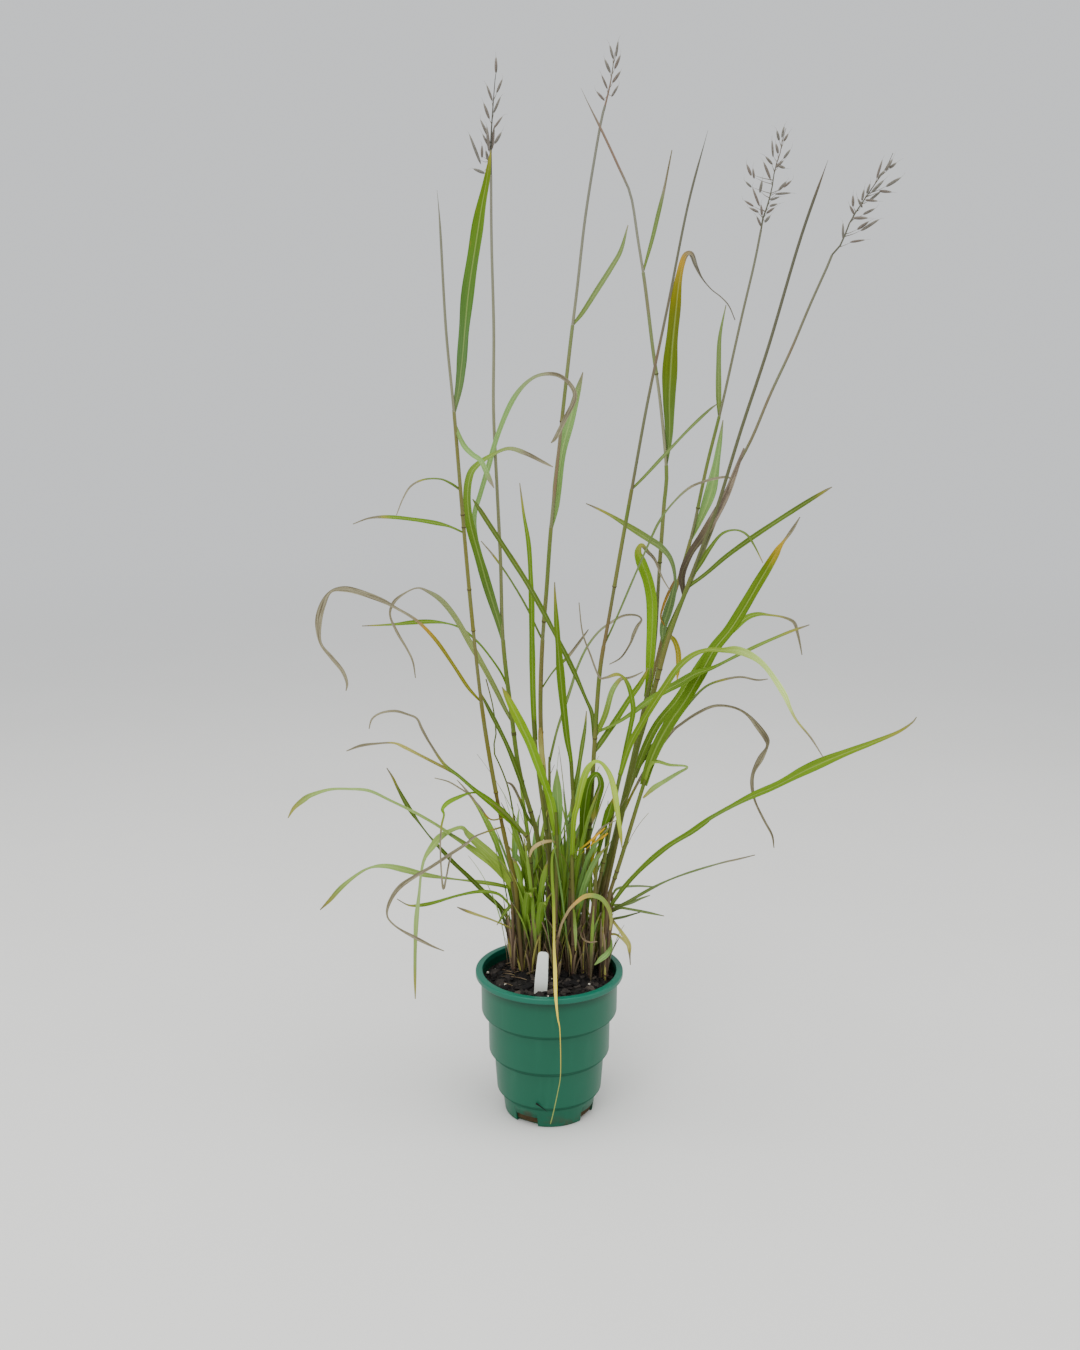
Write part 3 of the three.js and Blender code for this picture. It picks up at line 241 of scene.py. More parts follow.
class Value:
    """A number, place or colour that changes over a surface."""

    def __init__(self, finish, socket):
        self.finish, self.socket = finish, socket

    def maths(self, operation, *values):
        """A Math node on this value and others."""
        return self.finish.node("Math", {"operation": operation}, dict(enumerate(values)))

    def __add__(self, other):
        return self.maths("ADD", self, other)

    def __sub__(self, other):
        return self.maths("SUBTRACT", self, other)

    def __rsub__(self, other):
        return self.maths("SUBTRACT", other, self)

    def __mul__(self, other):
        return self.maths("MULTIPLY", self, other)

    def __abs__(self):
        return self.maths("ABSOLUTE", self)

    __radd__, __rmul__ = __add__, __mul__

    def between(self, low, high):
        """0 below `low`, 1 above `high`, and a smooth step between them."""
        settings = {"interpolation_type": "SMOOTHSTEP"}
        return self.finish.node("MapRange", settings, {"Value": self, "From Min": low, "From Max": high})


print("a leaf's green as linear light:", [round(part, 3) for part in paint(96, 124, 24)])

# %% A finish and its nodes
FINISHES = {}


class Finish:
    """A material with one Principled shader, whose nodes are added by one method."""

    def __init__(self, name, **constants):
        self.material = bpy.data.materials.new(name)
        self.material.use_nodes = True
        self.tree = self.material.node_tree
        self.shader = self.tree.nodes["Principled BSDF"]
        self.wear(**constants)
        FINISHES[name] = self.material

    def plug(self, socket, value):
        """Links a value to a socket, or sets the socket's own number."""
        if isinstance(value, Value):
            self.tree.links.new(value.socket, socket)
        else:
            socket.default_value = value

    def set_stops(self, elements, stops):
        """Gives a ramp's two elements the end stops, and adds one for each stop between them."""
        elements[0].position, elements[-1].position = stops[0][0], stops[-1][0]
        for position, _ in stops[1:-1]:
            elements.new(position)
        for element, (_, colour) in zip(elements, stops):
            element.color = colour

    def node(self, kind, settings, sockets, output=0):
        """Adds a node: its settings first, then its sockets by name or place among those it shows."""
        made = self.tree.nodes.new("ShaderNode" + kind)
        for key, value in settings.items():
            if key == "stops":
                self.set_stops(made.color_ramp.elements, value)
            else:
                setattr(made, key, value)
        shown = [s for s in made.inputs if s.enabled]
        for key, value in sockets.items():
            number = key if isinstance(key, int) else [s.name for s in shown].index(key)
            self.plug(shown[number], value)
        return Value(self, [s for s in made.outputs if s.enabled][output])

    def mark(self, name):
        """A number that the piece's mesh carries at each point."""
        return self.node("Attribute", {"attribute_name": name}, {}, output=2)

    def place(self):
        """The point's place in the object's own frame, in metres."""
        return self.node("TexCoord", {}, {}, output=3)

    def vector(self, x, y, z):
        """Three numbers as one vector."""
        return self.node("CombineXYZ", {}, {"X": x, "Y": y, "Z": z})

    def noise(self, where, scale, detail=3.0, rough=0.55):
        """Cloudy noise from 0 to 1."""
        sockets = {"Vector": where, "Scale": scale, "Detail": detail, "Roughness": rough}
        return self.node("TexNoise", {}, sockets)

    def mix(self, share, low, high, way="MIX"):
        """A colour between `low` and `high`."""
        settings = {"data_type": "RGBA", "blend_type": way}
        return self.node("Mix", settings, {"Factor": share, "A": low, "B": high})

    def ramp(self, share, stops):
        """The colour at `share` between stops of (share, colour)."""
        return self.node("ValToRGB", {"stops": stops}, {"Fac": share})

    def height(self):
        """The point's height in metres."""
        return self.node("SeparateXYZ", {}, {"Vector": self.place()}, output=2)

    def relief(self, height, strength, depth):
        """Bumps that stand `depth` metres proud where the height is 1."""
        return self.node("Bump", {}, {"Height": height, "Strength": strength, "Distance": depth})

    def wear(self, **surface):
        """Feeds the shader's sockets, named with _ for a space."""
        for socket, value in surface.items():
            self.plug(self.shader.inputs[socket.replace("_", " ")], value)


print("numbers that a mesh carries for its finish:", MARKS)

# %% [markdown]
# ## Blade finishes
# A blade of indian grass has fine veins all along it and a paler rib down its middle, and it dies from
# its tip: first a yellowish or dull band, orange on a few, then grey-brown. Each mesh carries how far a
# point lies across (-1 to 1) and along the blade (0 to 1), and the share at which the blade is dead, so
# one finish serves fresh and half-dead blades alike. Noise in space couldn't do that: it doesn't know where
# a tip is. Only the young blades also read the height, because their feet are wrapped in old sheaths.

# %% Blade finishes
# the two colours of dead blades, plain and ashen, and the colours that a dying blade passes through
HUSKY = (paint(144, 138, 110), paint(92, 84, 64))
ASHEN = (paint(110, 106, 88), paint(56, 52, 44))
OLIVE, RUST, DULL = paint(134, 126, 50), paint(164, 124, 16), paint(114, 116, 84)


def blade_finish(name, run, burnt=0.05, dead=HUSKY, rib=0.3, gloss=0.5, turning=OLIVE, sheathed=0.0):
    """Colour follows the stops of `run` along the blade. Veins are noise stretched along it, a rib lies
    where across is 0, and tan spots grow more with `burnt`. age = share - dies turns the colour to
    `turning` and then to the `dead` pair. The lowest part is brown by the share `sheathed`."""
    f = Finish(name, Specular_IOR_Level=0.16)
    across, share, along, tint, dies = (f.mark(n) for n in ("across", "share", "along", "tint", "mark"))
    veins = f.noise(f.vector(across * 9 + tint * 40, along * 9, tint * 17), 1.0, 2.0)
    clouds = f.noise(f.place(), 22.0, 4.0)
    spots = f.noise(f.vector(across * 3 + tint * 23, along * 38, tint * 9), 1.0, 5.0, 0.65)
    middle = (1 - abs(across)).between(0.84, 0.97)
    colour = f.ramp(share + (clouds - 0.5) * 0.16 + (tint - 0.5) * 0.08, run)
    shade = f.mix(1.0, colour, paint(176, 176, 150), way="MULTIPLY")
    colour = f.mix(veins.between(0.35, 0.72) * 0.6, colour, shade)
    colour = f.mix(middle * rib, colour, paint(168, 186, 108))
    spotted = (spots + share * 0.3 + abs(across) * 0.1).between(0.96 - burnt, 1.08 - burnt)
    colour = f.mix(spotted * 0.8, colour, paint(142, 112, 34))
    age = share - dies + (spots - 0.5) * 0.12 + (clouds - 0.5) * 0.1
    colour = f.mix(age.between(-0.13, -0.02) * 0.75, colour, turning)
    withered = f.mix(spots.between(0.36, 0.66) + veins.between(0.42, 0.68) * 0.3, *dead)
    colour = f.mix(age.between(-0.035, 0.02), colour, withered)
    if sheathed:
        low = 1 - (f.height() + spots * 0.04).between(SOIL_TOP + 0.035, SOIL_TOP + 0.085)
        old = f.mix(veins.between(0.35, 0.6), paint(124, 106, 84), paint(58, 45, 40))
        colour = f.mix(low * sheathed, colour, old)
    bumps = f.relief(veins * 0.7 + middle * 0.6, 0.5, 0.0003)
    f.wear(Base_Color=colour, Roughness=gloss + clouds * 0.16, Normal=bumps)


def fade(*colours):
    """Stops at even steps of the blade's length."""
    return [(i / (len(colours) - 1), paint(*colour)) for i, colour in enumerate(colours)]


blade_finish("lime", fade((94, 118, 36), (92, 124, 16), (96, 128, 12), (112, 134, 18)))
blade_finish("broad", fade((96, 116, 68), (80, 114, 58), (76, 112, 44), (80, 116, 26), (90, 122, 4),
                           (102, 122, 4)))
blade_finish("rusting", fade((92, 118, 30), (86, 118, 10), (86, 116, 4), (100, 120, 4)),
             turning=paint(178, 140, 26))
blade_finish("green", fade((82, 102, 30), (82, 106, 24), (84, 106, 28), (84, 102, 36)))
blade_finish("vivid", fade((88, 118, 4), (84, 116, 2), (88, 118, 4), (100, 126, 8)))
blade_finish("bright", fade((110, 146, 22), (114, 154, 10), (116, 156, 8), (146, 176, 10)))
blade_finish("sunlit", fade((98, 132, 10), (122, 152, 14), (140, 172, 40), (166, 192, 66), (144, 166, 40)))
blade_finish("deep", fade((70, 98, 4), (72, 106, 0), (76, 108, 2), (82, 104, 8)), burnt=-0.05)
blade_finish("sage", fade((98, 116, 50), (100, 120, 62), (98, 116, 60), (96, 114, 60)), turning=DULL)
blade_finish("hoary", fade((104, 118, 60), (128, 142, 78), (122, 132, 88), (116, 122, 84)), turning=DULL)
blade_finish("slate", fade((94, 118, 66), (90, 114, 64), (96, 118, 60), (102, 122, 44), (98, 116, 30)))
blade_finish("meadow", fade((96, 120, 58), (84, 114, 36), (88, 120, 18), (108, 136, 40), (124, 140, 70)),
             turning=DULL)
blade_finish("blue", fade((112, 140, 70), (114, 150, 78), (116, 152, 82), (106, 130, 66)), turning=DULL)
blade_finish("leek", fade((98, 124, 40), (100, 132, 40), (86, 116, 16), (106, 132, 40), (112, 130, 60)))
blade_finish("pale", fade((108, 136, 26), (116, 140, 52), (138, 168, 88), (116, 134, 60)))
blade_finish("frosted", fade((98, 130, 14), (98, 126, 14), (110, 134, 32), (188, 214, 120),
                             (162, 174, 94)))
blade_finish("rust", fade((126, 94, 32), (150, 110, 20), (112, 88, 50)), burnt=0.0)
blade_finish("gold", fade((112, 112, 14), (132, 118, 8), (138, 124, 6), (146, 128, 18)), burnt=0.1,
             turning=RUST)
blade_finish("mint", fade((142, 170, 58), (138, 166, 74), (142, 172, 92), (120, 138, 64)))
blade_finish("orange", fade((90, 116, 30), (104, 120, 16), (206, 160, 4), (206, 152, 4)), burnt=0.0)
blade_finish("yellowing", fade((88, 112, 56), (82, 106, 30), (90, 108, 4), (100, 104, 0), (140, 124, 0),
                               (140, 112, 10), (112, 92, 48)), dead=ASHEN, turning=RUST)
blade_finish("young", fade((108, 140, 44), (114, 150, 48), (118, 152, 50), (126, 152, 56)), sheathed=0.92)
blade_finish("cool", fade((100, 134, 58), (106, 146, 70), (110, 148, 74), (116, 142, 70)), sheathed=0.92)
blade_finish("strand", fade((104, 132, 30), (106, 134, 26), (200, 190, 72), (236, 212, 82), (208, 186, 60),
                            (142, 158, 84), (134, 152, 76)), burnt=0.0, rib=0.1)
blade_finish("straw", fade((122, 116, 52), (168, 162, 84), (176, 170, 96), (158, 142, 76)), burnt=0.14,
             gloss=0.6)
blade_finish("withered", fade((110, 94, 72), (148, 126, 96), (168, 146, 104), (206, 160, 78),
                              (116, 146, 66), (124, 136, 58), (148, 142, 84)), gloss=0.6)
blade_finish("tan", fade((138, 120, 74), (168, 148, 98), (148, 126, 80)), burnt=0.0, gloss=0.6)
blade_finish("sheath", fade((86, 70, 58), (122, 102, 82), (148, 128, 104)), burnt=0.0, gloss=0.62)
blade_finish("dry", fade((100, 116, 34), (118, 112, 50), (124, 112, 70)), burnt=0.1, gloss=0.66)
blade_finish("brown", fade((80, 70, 56), (88, 77, 62)), burnt=0.0, rib=0.1, gloss=0.66,
             dead=(paint(144, 130, 110), paint(84, 73, 62)), turning=paint(112, 100, 76))
print("blade finishes:", sorted(FINISHES))

# %% [markdown]
# ## The finish of stems and seed heads
# A culm isn't one colour. Old sheaths round its foot are purple-brown, a green sheath wraps it below
# each leaf, and higher up it is grey-green, with a red-brown flush where the sun reaches it. The mesh
# marks the sheaths, and the height does the rest. Seed heads are grey-brown, with browner stalks.

# %% Stem and seed head finishes
def stem_finish(name, low, sheath):
    """Brown to green to grey with height, by way of the colour `low`; tint picks between a dark and a pale
    culm. Mark 1 is a green sheath and 2 is a joint's dark ring. Long stretches are flushed red-brown."""
    f = Finish(name, Specular_IOR_Level=0.16)
    share, along, tint, mark = (f.mark(n) for n in ("share", "along", "tint", "mark"))
    clouds = f.noise(f.place(), 30.0, 4.0)
    lines = f.noise(f.vector(f.mark("across") * 6 + tint * 31, along * 14, tint * 7), 1.0, 3.0)
    stretch = f.noise(f.vector(tint * 31, tint * 17, along * 7), 1.0, 2.0)
    foot = [(0.0, paint(72, 56, 46)), (0.05, paint(100, 82, 60)), (0.1, paint(92, 88, 44)),
            (0.18, low), (0.34, low)]
    dark = foot + [(0.5, paint(80, 84, 50)), (0.75, paint(76, 76, 60)), (1.0, paint(66, 66, 58))]
    pale = foot + [(0.5, paint(112, 117, 72)), (0.75, paint(126, 126, 98)), (1.0, paint(114, 114, 100))]
    height = share + (clouds - 0.5) * 0.12 + (tint - 0.5) * 0.1
    bare = f.mix(tint, f.ramp(height, dark), f.ramp(height, pale))
    sleeve = f.mix(clouds.between(0.4, 0.65), sheath, paint(104, 106, 50))
    green = mark.between(0.2, 0.9) * share.between(0.08, 0.2) * (1 - share.between(0.6, 0.95) * 0.6)
    colour = f.mix(green * 0.8, bare, sleeve)
    colour = f.mix(lines.between(0.4, 0.75) * 0.35, colour, paint(74, 58, 44))
    colour = f.mix(stretch.between(0.52, 0.66) * share.between(0.2, 0.5) * 0.5, colour, paint(118, 78, 60))
    colour = f.mix(mark.between(1.2, 1.8) * 0.8, colour, paint(56, 38, 26))
    f.wear(Base_Color=colour, Roughness=0.5 + clouds * 0.2, Normal=f.relief(lines, 0.4, 0.0002))


def head_finish():
    """Grey-brown husks with paler tips; mark 1 is a stalk, bristle or hair, which is browner."""
    f = Finish("head", Specular_IOR_Level=0.16)
    share, tint, mark = (f.mark(n) for n in ("share", "tint", "mark"))
    grain = f.noise(f.place(), 700.0, 3.0)
    husk = f.mix(tint, paint(104, 102, 94), paint(106, 96, 88))
    husk = f.mix(share.between(0.5, 1.0) * 0.6, husk, paint(138, 134, 122))
    husk = f.mix(grain.between(0.4, 0.7) * 0.45, husk, paint(58, 48, 40))
    colour = f.mix(mark.between(0.3, 0.7), husk, paint(96, 88, 72))
    f.wear(Base_Color=colour, Roughness=0.62 + grain * 0.2, Normal=f.relief(grain, 0.3, 0.0001))


stem_finish("stem", paint(84, 97, 33), paint(88, 110, 34))
stem_finish("golden_stem", paint(98, 88, 30), paint(106, 102, 34))
head_finish()
print("finishes so far:", len(FINISHES))

# %% [markdown]
# ## Stems
# A grass culm is a slim tube. Each leaf starts at a joint, wraps the culm as a sheath for a hand's
# width, and leaves it at the collar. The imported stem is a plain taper. This one is a circle carried
# along the same line, a third of a millimetre thicker where a sheath wraps it, with a ring at each
# joint. The extra rings stand only where the radius changes, so the mesh stays light.

# %% Where stems stand
# the picture row at which a stem meets the soil, and how far it stands upright below and above it
SOIL_ROW = 960
PEG_DEEP, PEG_HIGH = 0.008, 0.0045


def foot_at(u, y):
    """The point of the soil at depth y under picture column u."""
    point = seen_at(u, SOIL_ROW, y)
    return np.array([point[0], point[1], SOIL_TOP])


def stem_line(foot, lean, points):
    """An upright foot in the soil, then the traced way: depth grows by `lean` from the soil to the top."""
    ground = foot_at(*foot)
    way = smooth(points, 6)
    depth = foot[1] + lean * (SOIL_ROW - way[:, 1]) / (SOIL_ROW - way[-1, 1])
    below = ground - [0, 0, PEG_DEEP]
    above = ground + [0, 0, PEG_HIGH]
    return np.vstack([below, above, seen_at(way[:, 0], way[:, 1], depth)])


def on_stem(line, v):
    """How far along the line the picture's row v is met: straight between the rows of its points."""
    rows = row_of(line)
    i = int(np.clip(np.argmax(rows <= v), 2, len(rows) - 1))
    part = np.clip((rows[i - 1] - v) / (rows[i - 1] - rows[i]), 0, 1)
    along = distances(line)
    return along[i - 1] + part * (along[i] - along[i - 1])


print("a foot under column 540 at the pot's axis, m:", foot_at(540, 0.0).round(4))

# %% Stem surface
STEM_SIDES, STEM_STEP = 12, 0.012
SHEATH = dict(long=0.105, thick=0.00032, lowest=0.012)
JOINT = dict(thick=0.0005, long=0.0011)
# where rings stand on both sides of a joint and of a collar
EDGE = np.array([-0.0030, -0.0012, -0.0005, 0.0, 0.0005, 0.0012, 0.0030])
# the height above the soil over which a stem runs through all its colours
TALLEST = 0.9


def circles(line, radius, sides):
    """Rings round a line: line + radius * (cos t * side + sin t * other), with side as near X as can be."""
    along = tangents(line)
    side = unit(np.array([1.0, 0, 0]) - along * along[:, :1])
    other = np.cross(along, side)
    turn = 2 * pi * np.arange(sides) / sides
    ring = np.cos(turn)[None, :, None] * side[:, None] + np.sin(turn)[None, :, None] * other[:, None]
    return line[:, None] + np.broadcast_to(radius, len(line))[:, None, None] * ring


def add_stem(piece, line, girth, collars, tint, point=0, finish="stem"):
    """A tapering tube with a sheath from each joint up to its collar, and a ring at the joint. Its last
    `point` metres narrow evenly to a tip."""
    total = distances(line)[-1]
    joints = np.maximum(np.array(collars) - SHEATH["long"], SHEATH["lowest"])
    near = [place + EDGE for place in (*collars, *joints)]
    stations = np.concatenate([np.arange(0, total, STEM_STEP), [total], *near])
    stations = np.unique(np.clip(stations, 0, total).round(5))
    share = stations / total
    wrapped = np.zeros(len(stations))
    ring = np.zeros(len(stations))
    for joint, collar in zip(joints, collars):
        inside = (stations >= joint) & (stations <= collar)
        wrapped[inside] = 1.0
        ring += np.exp(-((stations - joint) / JOINT["long"]) ** 2)
    radius = girth[0] + (girth[1] - girth[0]) * share + wrapped * SHEATH["thick"] + ring * JOINT["thick"]
    if point:
        radius = radius * np.clip((total - stations) / point, 0.1, 1)
    rings = circles(resample(line, stations), radius, STEM_SIDES)
    around = np.abs(np.linspace(-1, 1, STEM_SIDES, endpoint=False))
    mark = np.maximum(wrapped, np.minimum(ring, 1) * 2)
    height = (rings[:, :, 2] - SOIL_TOP) / TALLEST
    piece.add(rings, finish, share=height, along=stations[:, None], tint=tint, across=around,
              mark=mark[:, None])


print("rings at each joint and collar:", len(EDGE))

# %% [markdown]
# ## Blades
# Each blade is a thin strip that narrows to its collar and its tip. A traced width is only what the
# picture shows: a blade seen half from its edge looks slim. So every blade gets a real width first, and
# is turned about its own line just far enough to look as slim as it does. The dead end of a blade rolls
# itself up, so it loses most of that width, and three kinds of narrow strip keep the traced one. A section
# of seven points folds a blade down along the middle, and a slow ripple keeps its edges from being
# ruler-straight.

# %% Blade surface
# rings for each traced pair of points and for a whole free blade, and points across
BLADE = dict(steps=5, free_steps=18, across=7)
# the least full width, how much of it is spare over the traced one, and the width of a tip
BLADE |= dict(slimmest=0.0055, spare=1.1, tip=0.0007)
# thickness, the share that its edge loses, the ripple's length, and how depth grows along the blade
BLADE |= dict(thick=0.0004, thin_edge=0.7, wave=0.011, bow=1.5)
# a dead end rolls up within this share of the length, and loses this share of its width
BLADE |= dict(roll=0.06, curl=0.7)
# the ripple's least and greatest height over the width, and the shares at which free blades are dead
BLADE |= dict(ripple=(0.03, 0.09), free_dies=(0.86, 1.15))
# how deep each finish is folded, the finishes that keep their traced width, and the fold of the others
FOLD = {"dry": 0.34, "brown": 0.34, "sheath": 0.34, "straw": 0.26, "withered": 0.2, "strand": 0.1}
ROLLED = ("strand", "orange", "rust")
BROAD, BROAD_FOLD, SLIM_FOLD = 0.010, 0.16, 0.10


def taper(share):
    """A blade's breadth along its length: the least of 0.3 + 2.4 * share at the collar, 1, and
    3 * (1 - share) + 0.12 at the tip."""
    return np.minimum.reduce([0.3 + 2.4 * share, np.ones_like(share), 3 * (1 - share) + 0.12])


def blade_rings(spine, wides, widths, relief, fold, ripple, phase):
    """Rings of a thin folded strip. At t from 1 to -1 across, a point stands out by t * width / 2 and is
    lowered by fold * relief * (1 - |t|^1.3); a ripple lifts the edges; the sheet thins out to them."""
    t = np.linspace(1, -1, BLADE["across"])
    along = distances(spine)
    up = np.cross(tangents(spine), wides)
    lift = -fold * relief[:, None] * (1 - np.abs(t) ** 1.3)
    lift = lift + ripple * relief[:, None] * t**3 * np.sin(along[:, None] / BLADE["wave"] + phase)
    half = BLADE["thick"] / 2 * (1 - BLADE["thin_edge"] * t**2)
    mid = spine[:, None] + wides[:, None] * (t * widths[:, None] / 2)[..., None]
    mid = mid + up[:, None] * lift[..., None]
    raised = up[:, None] * half[None, :, None]
    return np.concatenate([mid + raised, (mid - raised)[:, ::-1]], 1)


def add_blade(piece, finish, spine, wides, widths, relief, dies, random):
    """Adds one blade with its marks."""
    along = distances(spine)
    fold = FOLD.get(finish, BROAD_FOLD if widths.max() > BROAD else SLIM_FOLD)
    ripple, phase = random.uniform(*BLADE["ripple"]), random.uniform(0, 6)
    rings = blade_rings(spine, wides, widths, relief, fold, ripple, phase)
    t = np.linspace(1, -1, BLADE["across"])
    across = np.concatenate([t, t[::-1]])
    share = (along / along[-1])[:, None]
    piece.add(rings, finish, across=across, share=share, along=along[:, None], mark=dies,
              tint=random.uniform(0, 1))


print("breadth of a blade at its quarters:", taper(np.linspace(0, 1, 5)).round(2))

# %% Traced and free blades
def traced_blade(piece, finish, start, reach, dies, points, random):
    """A blade from `start` on a stem through picture points [column, row, width]. Its depth grows by
    reach * share^1.5, unless the points carry one. Up to the second point it is drawn to `start`, by a
    weight of (1 - steps)^2. Turn: the cosine is the seen over the real width. A blade that is turned
    away is folded less, because the fold would make it look wider."""
    points = np.asarray(points, float)
    fine = smooth(points, BLADE["steps"])
    run = distances(fine[:, :2])
    share = run / run[-1]
    depth = fine[:, 3] if points.shape[1] > 3 else start[1] + reach * share ** BLADE["bow"]
    spine = seen_at(fine[:, 0], fine[:, 1], depth)
    spine = spine + (start - spine[0]) * np.clip(1 - share * (len(points) - 1), 0, 1)[:, None] ** 2
    seen = np.maximum(fine[:, 2] * pixel_at(spine[:, 1]), BLADE["tip"])
    full = max(BLADE["slimmest"], BLADE["spare"] * points[:, 2].max() * pixel_at(start[1]))
    rolled = 1 - BLADE["curl"] * np.clip((share - dies) / BLADE["roll"], 0, 1)
    widths = seen if finish in ROLLED else np.maximum(seen, full * taper(share) * rolled)
    facing = np.minimum(1, seen / widths)
    turn = np.arccos(facing)[:, None]
    along = tangents(spine)
    across = unit(np.cross(along, unit(spine - EYE)))
    away = np.cross(across, along)
    side = 1.0 if fine[-1, 0] >= fine[0, 0] else -1.0
    wides = across * np.cos(turn) + away * side * np.sin(turn)
    add_blade(piece, finish, spine, wides, widths, widths * facing, dies, random)


def outwards(turn):
    """The level direction `turn` degrees round from X: (cos, sin, 0)."""
    return np.array([cos(radians(turn)), sin(radians(turn)), 0])


def free_blade(piece, finish, start, turn, rise, bend, length, width, random, sway=0.0):
    """A blade that rises from `start` towards the compass direction `turn`. Its slope falls from `rise`
    by bend * share^1.3, in degrees, and its line is the running sum of the steps in that direction. A
    thread sways from side to side by sway * sin(9 * share) * share."""
    steps = BLADE["free_steps"]
    share = np.arange(steps + 1) / steps
    slope = np.radians(rise - bend * (share[:-1] + 0.5 / steps) ** 1.3)
    out = outwards(turn)
    walk = out * np.cos(slope)[:, None] + np.array([0, 0, 1]) * np.sin(slope)[:, None]
    spine = start + np.vstack([np.zeros(3), np.cumsum(walk, 0)]) * length / steps
    widths = np.maximum(BLADE["tip"], width * taper(share))
    wides = np.broadcast_to([-out[1], out[0], 0], spine.shape)
    spine = spine + wides * (sway * np.sin(9 * share) * share)[:, None]
    add_blade(piece, finish, spine, wides, widths, widths, random.uniform(*BLADE["free_dies"]), random)


print("picture point at the pot's axis, mm:", round(1000 * pixel_at(0.0), 3))

# %% [markdown]
# ## The growth round each foot
# Between the stems that can be traced, the clump is filled with upright young blades, last year's
# papery sheaths and wavy dead threads. They could be scattered as instances, but the export drops
# those, so each is a short free blade of its own, drawn at random round the foot of a stem.

# %% Growth round a foot
# fresh blades stand a gap away from the stem, and old sheaths at a share of its radius
FRESH = dict(finishes=["young", "young", "cool"], low=-0.008, rise=(83, 90), bend=(4, 34),
             width=(0.003, 0.0062), gap=(0.001, 0.005))
OLD = dict(finishes=["sheath", "brown", "sheath", "straw"], low=-0.004, rise=(80, 90), bend=(0, 30),
           length=(0.022, 0.085), width=(0.0018, 0.004), inset=0.9)
THREAD = dict(finishes=["dry", "brown"], low=0.0, rise=(76, 87), bend=(5, 40), length=(0.1, 0.24),
              sway=(0.002, 0.006), width=0.0012)
# the shortest fresh blade, and how uneven the heights are at which the growth starts
SHORTEST, UNEVEN = 0.06, 0.008


def growth_start(ground, reach, low, random):
    """A random direction, and the point `reach` from the foot in it, a little above `low`."""
    turn = random.uniform(0, 360)
    return turn, ground + outwards(turn) * reach + [0, 0, random.uniform(low, low + UNEVEN)]


def add_sprout(piece, kind, length, ground, reach, random):
    """One blade of a kind on a circle round the foot."""
    turn, foot = growth_start(ground, reach, kind["low"], random)
    free_blade(piece, random.choice(kind["finishes"]), foot, turn, random.uniform(*kind["rise"]),
               random.uniform(*kind["bend"]), random.uniform(*length), random.uniform(*kind["width"]),
               random)


def add_growth(piece, ground, radius, fresh, sheaths, threads, random, tall=0.2):
    """Fresh blades up to `tall` metres, old sheaths and threads round the foot, each leaning a little
    outwards."""
    for _ in range(fresh):
        add_sprout(piece, FRESH, (SHORTEST, tall), ground, radius + random.uniform(*FRESH["gap"]), random)
    for _ in range(sheaths):
        add_sprout(piece, OLD, OLD["length"], ground, radius * OLD["inset"], random)
    for _ in range(threads):
        turn, foot = growth_start(ground, radius, THREAD["low"], random)
        bend, length, sway = (random.uniform(*THREAD[name]) for name in ("bend", "length", "sway"))
        free_blade(piece, random.choice(THREAD["finishes"]), foot, turn, random.uniform(*THREAD["rise"]),
                   bend, length, THREAD["width"], random, sway)


print("finishes at the feet:", FRESH["finishes"] + OLD["finishes"] + THREAD["finishes"])

# %% [markdown]
# ## The plant, stem by stem
# A stem has its foot as [column, depth], the depth it gains by its top, its radius at both ends, the
# [column, row] points it passes, how pale it is, and the length of its pointed tip. A leaf has its
# finish, the depth it gains, the share of its length at which it is dead (above 1 when it isn't), and
# its [column, row, width] points, on a few with the depth as well. Its first row is where it leaves the
# stem above it. Loose leaves are pieces of their own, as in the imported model. Depths, radii and tips are
# in metres.

# %% Culms on the left
STEMS = []


def stem(name, foot, lean, girth, points, pale=0.3, point=0, finish="stem"):
    """Notes a stem, whose leaves follow it."""
    STEMS.append(dict(name=name, foot=foot, lean=lean, girth=girth, points=points, pale=pale, point=point,
                      finish=finish, leaves=[]))


def leaf(finish, reach, dies, points, loose=False):
    """Notes a leaf of the last stem."""
    STEMS[-1]["leaves"].append((finish, reach, dies, points, loose))


stem("culm_far_left", [522, 0.014], -0.07, [0.0024, 0.0012], [[516, 885], [502, 824], [484.5, 726],
    [473, 628], [463, 520], [454, 412], [446, 330], [440, 225], [437, 190]], pale=0.85, point=0.04,
    finish="golden_stem")
leaf("broad", -0.06, 1, [[454, 412, 4], [460, 380, 8.5], [464, 330, 11], [468, 290, 12], [474, 250, 12],
    [480, 212, 9.5], [487, 178, 6], [491, 150, 1]])
leaf("blue", -0.025, 0.9, [[455, 425, 3], [463, 444, 5], [472, 454, 5], [481, 461, 5], [489, 478, 5],
    [494, 488, 1]])
leaf("green", -0.06, 0.5, [[461, 490, 2.5], [451, 483.5, 2.5], [440, 479, 2], [424, 479.5, 1.8],
    [411, 486, 2], [403, 498.5, 1.5], [396.5, 515, 1]])
leaf("lime", -0.09, 0.72, [[464, 533, 2], [450, 526.6, 2.5], [436, 523, 4.5], [415, 519.6, 3.5],
    [390, 517, 4], [370, 518, 2], [353, 524, 1]])
leaf("gold", -0.07, 0.36, [[480, 702, 2], [467, 686, 3.5], [452, 663, 3.8], [435, 639, 3.5],
    [416, 620, 3.5], [397, 608.5, 2.8], [381, 600, 5], [359, 592, 6], [344, 589, 6], [331, 591.5, 3],
    [323, 604, 6.5], [318.5, 622, 7.2], [320.5, 643, 3], [331.6, 657.5, 4.2], [342.5, 671, 4],
    [347, 683, 2.8], [346, 691, 1]], loose=True)
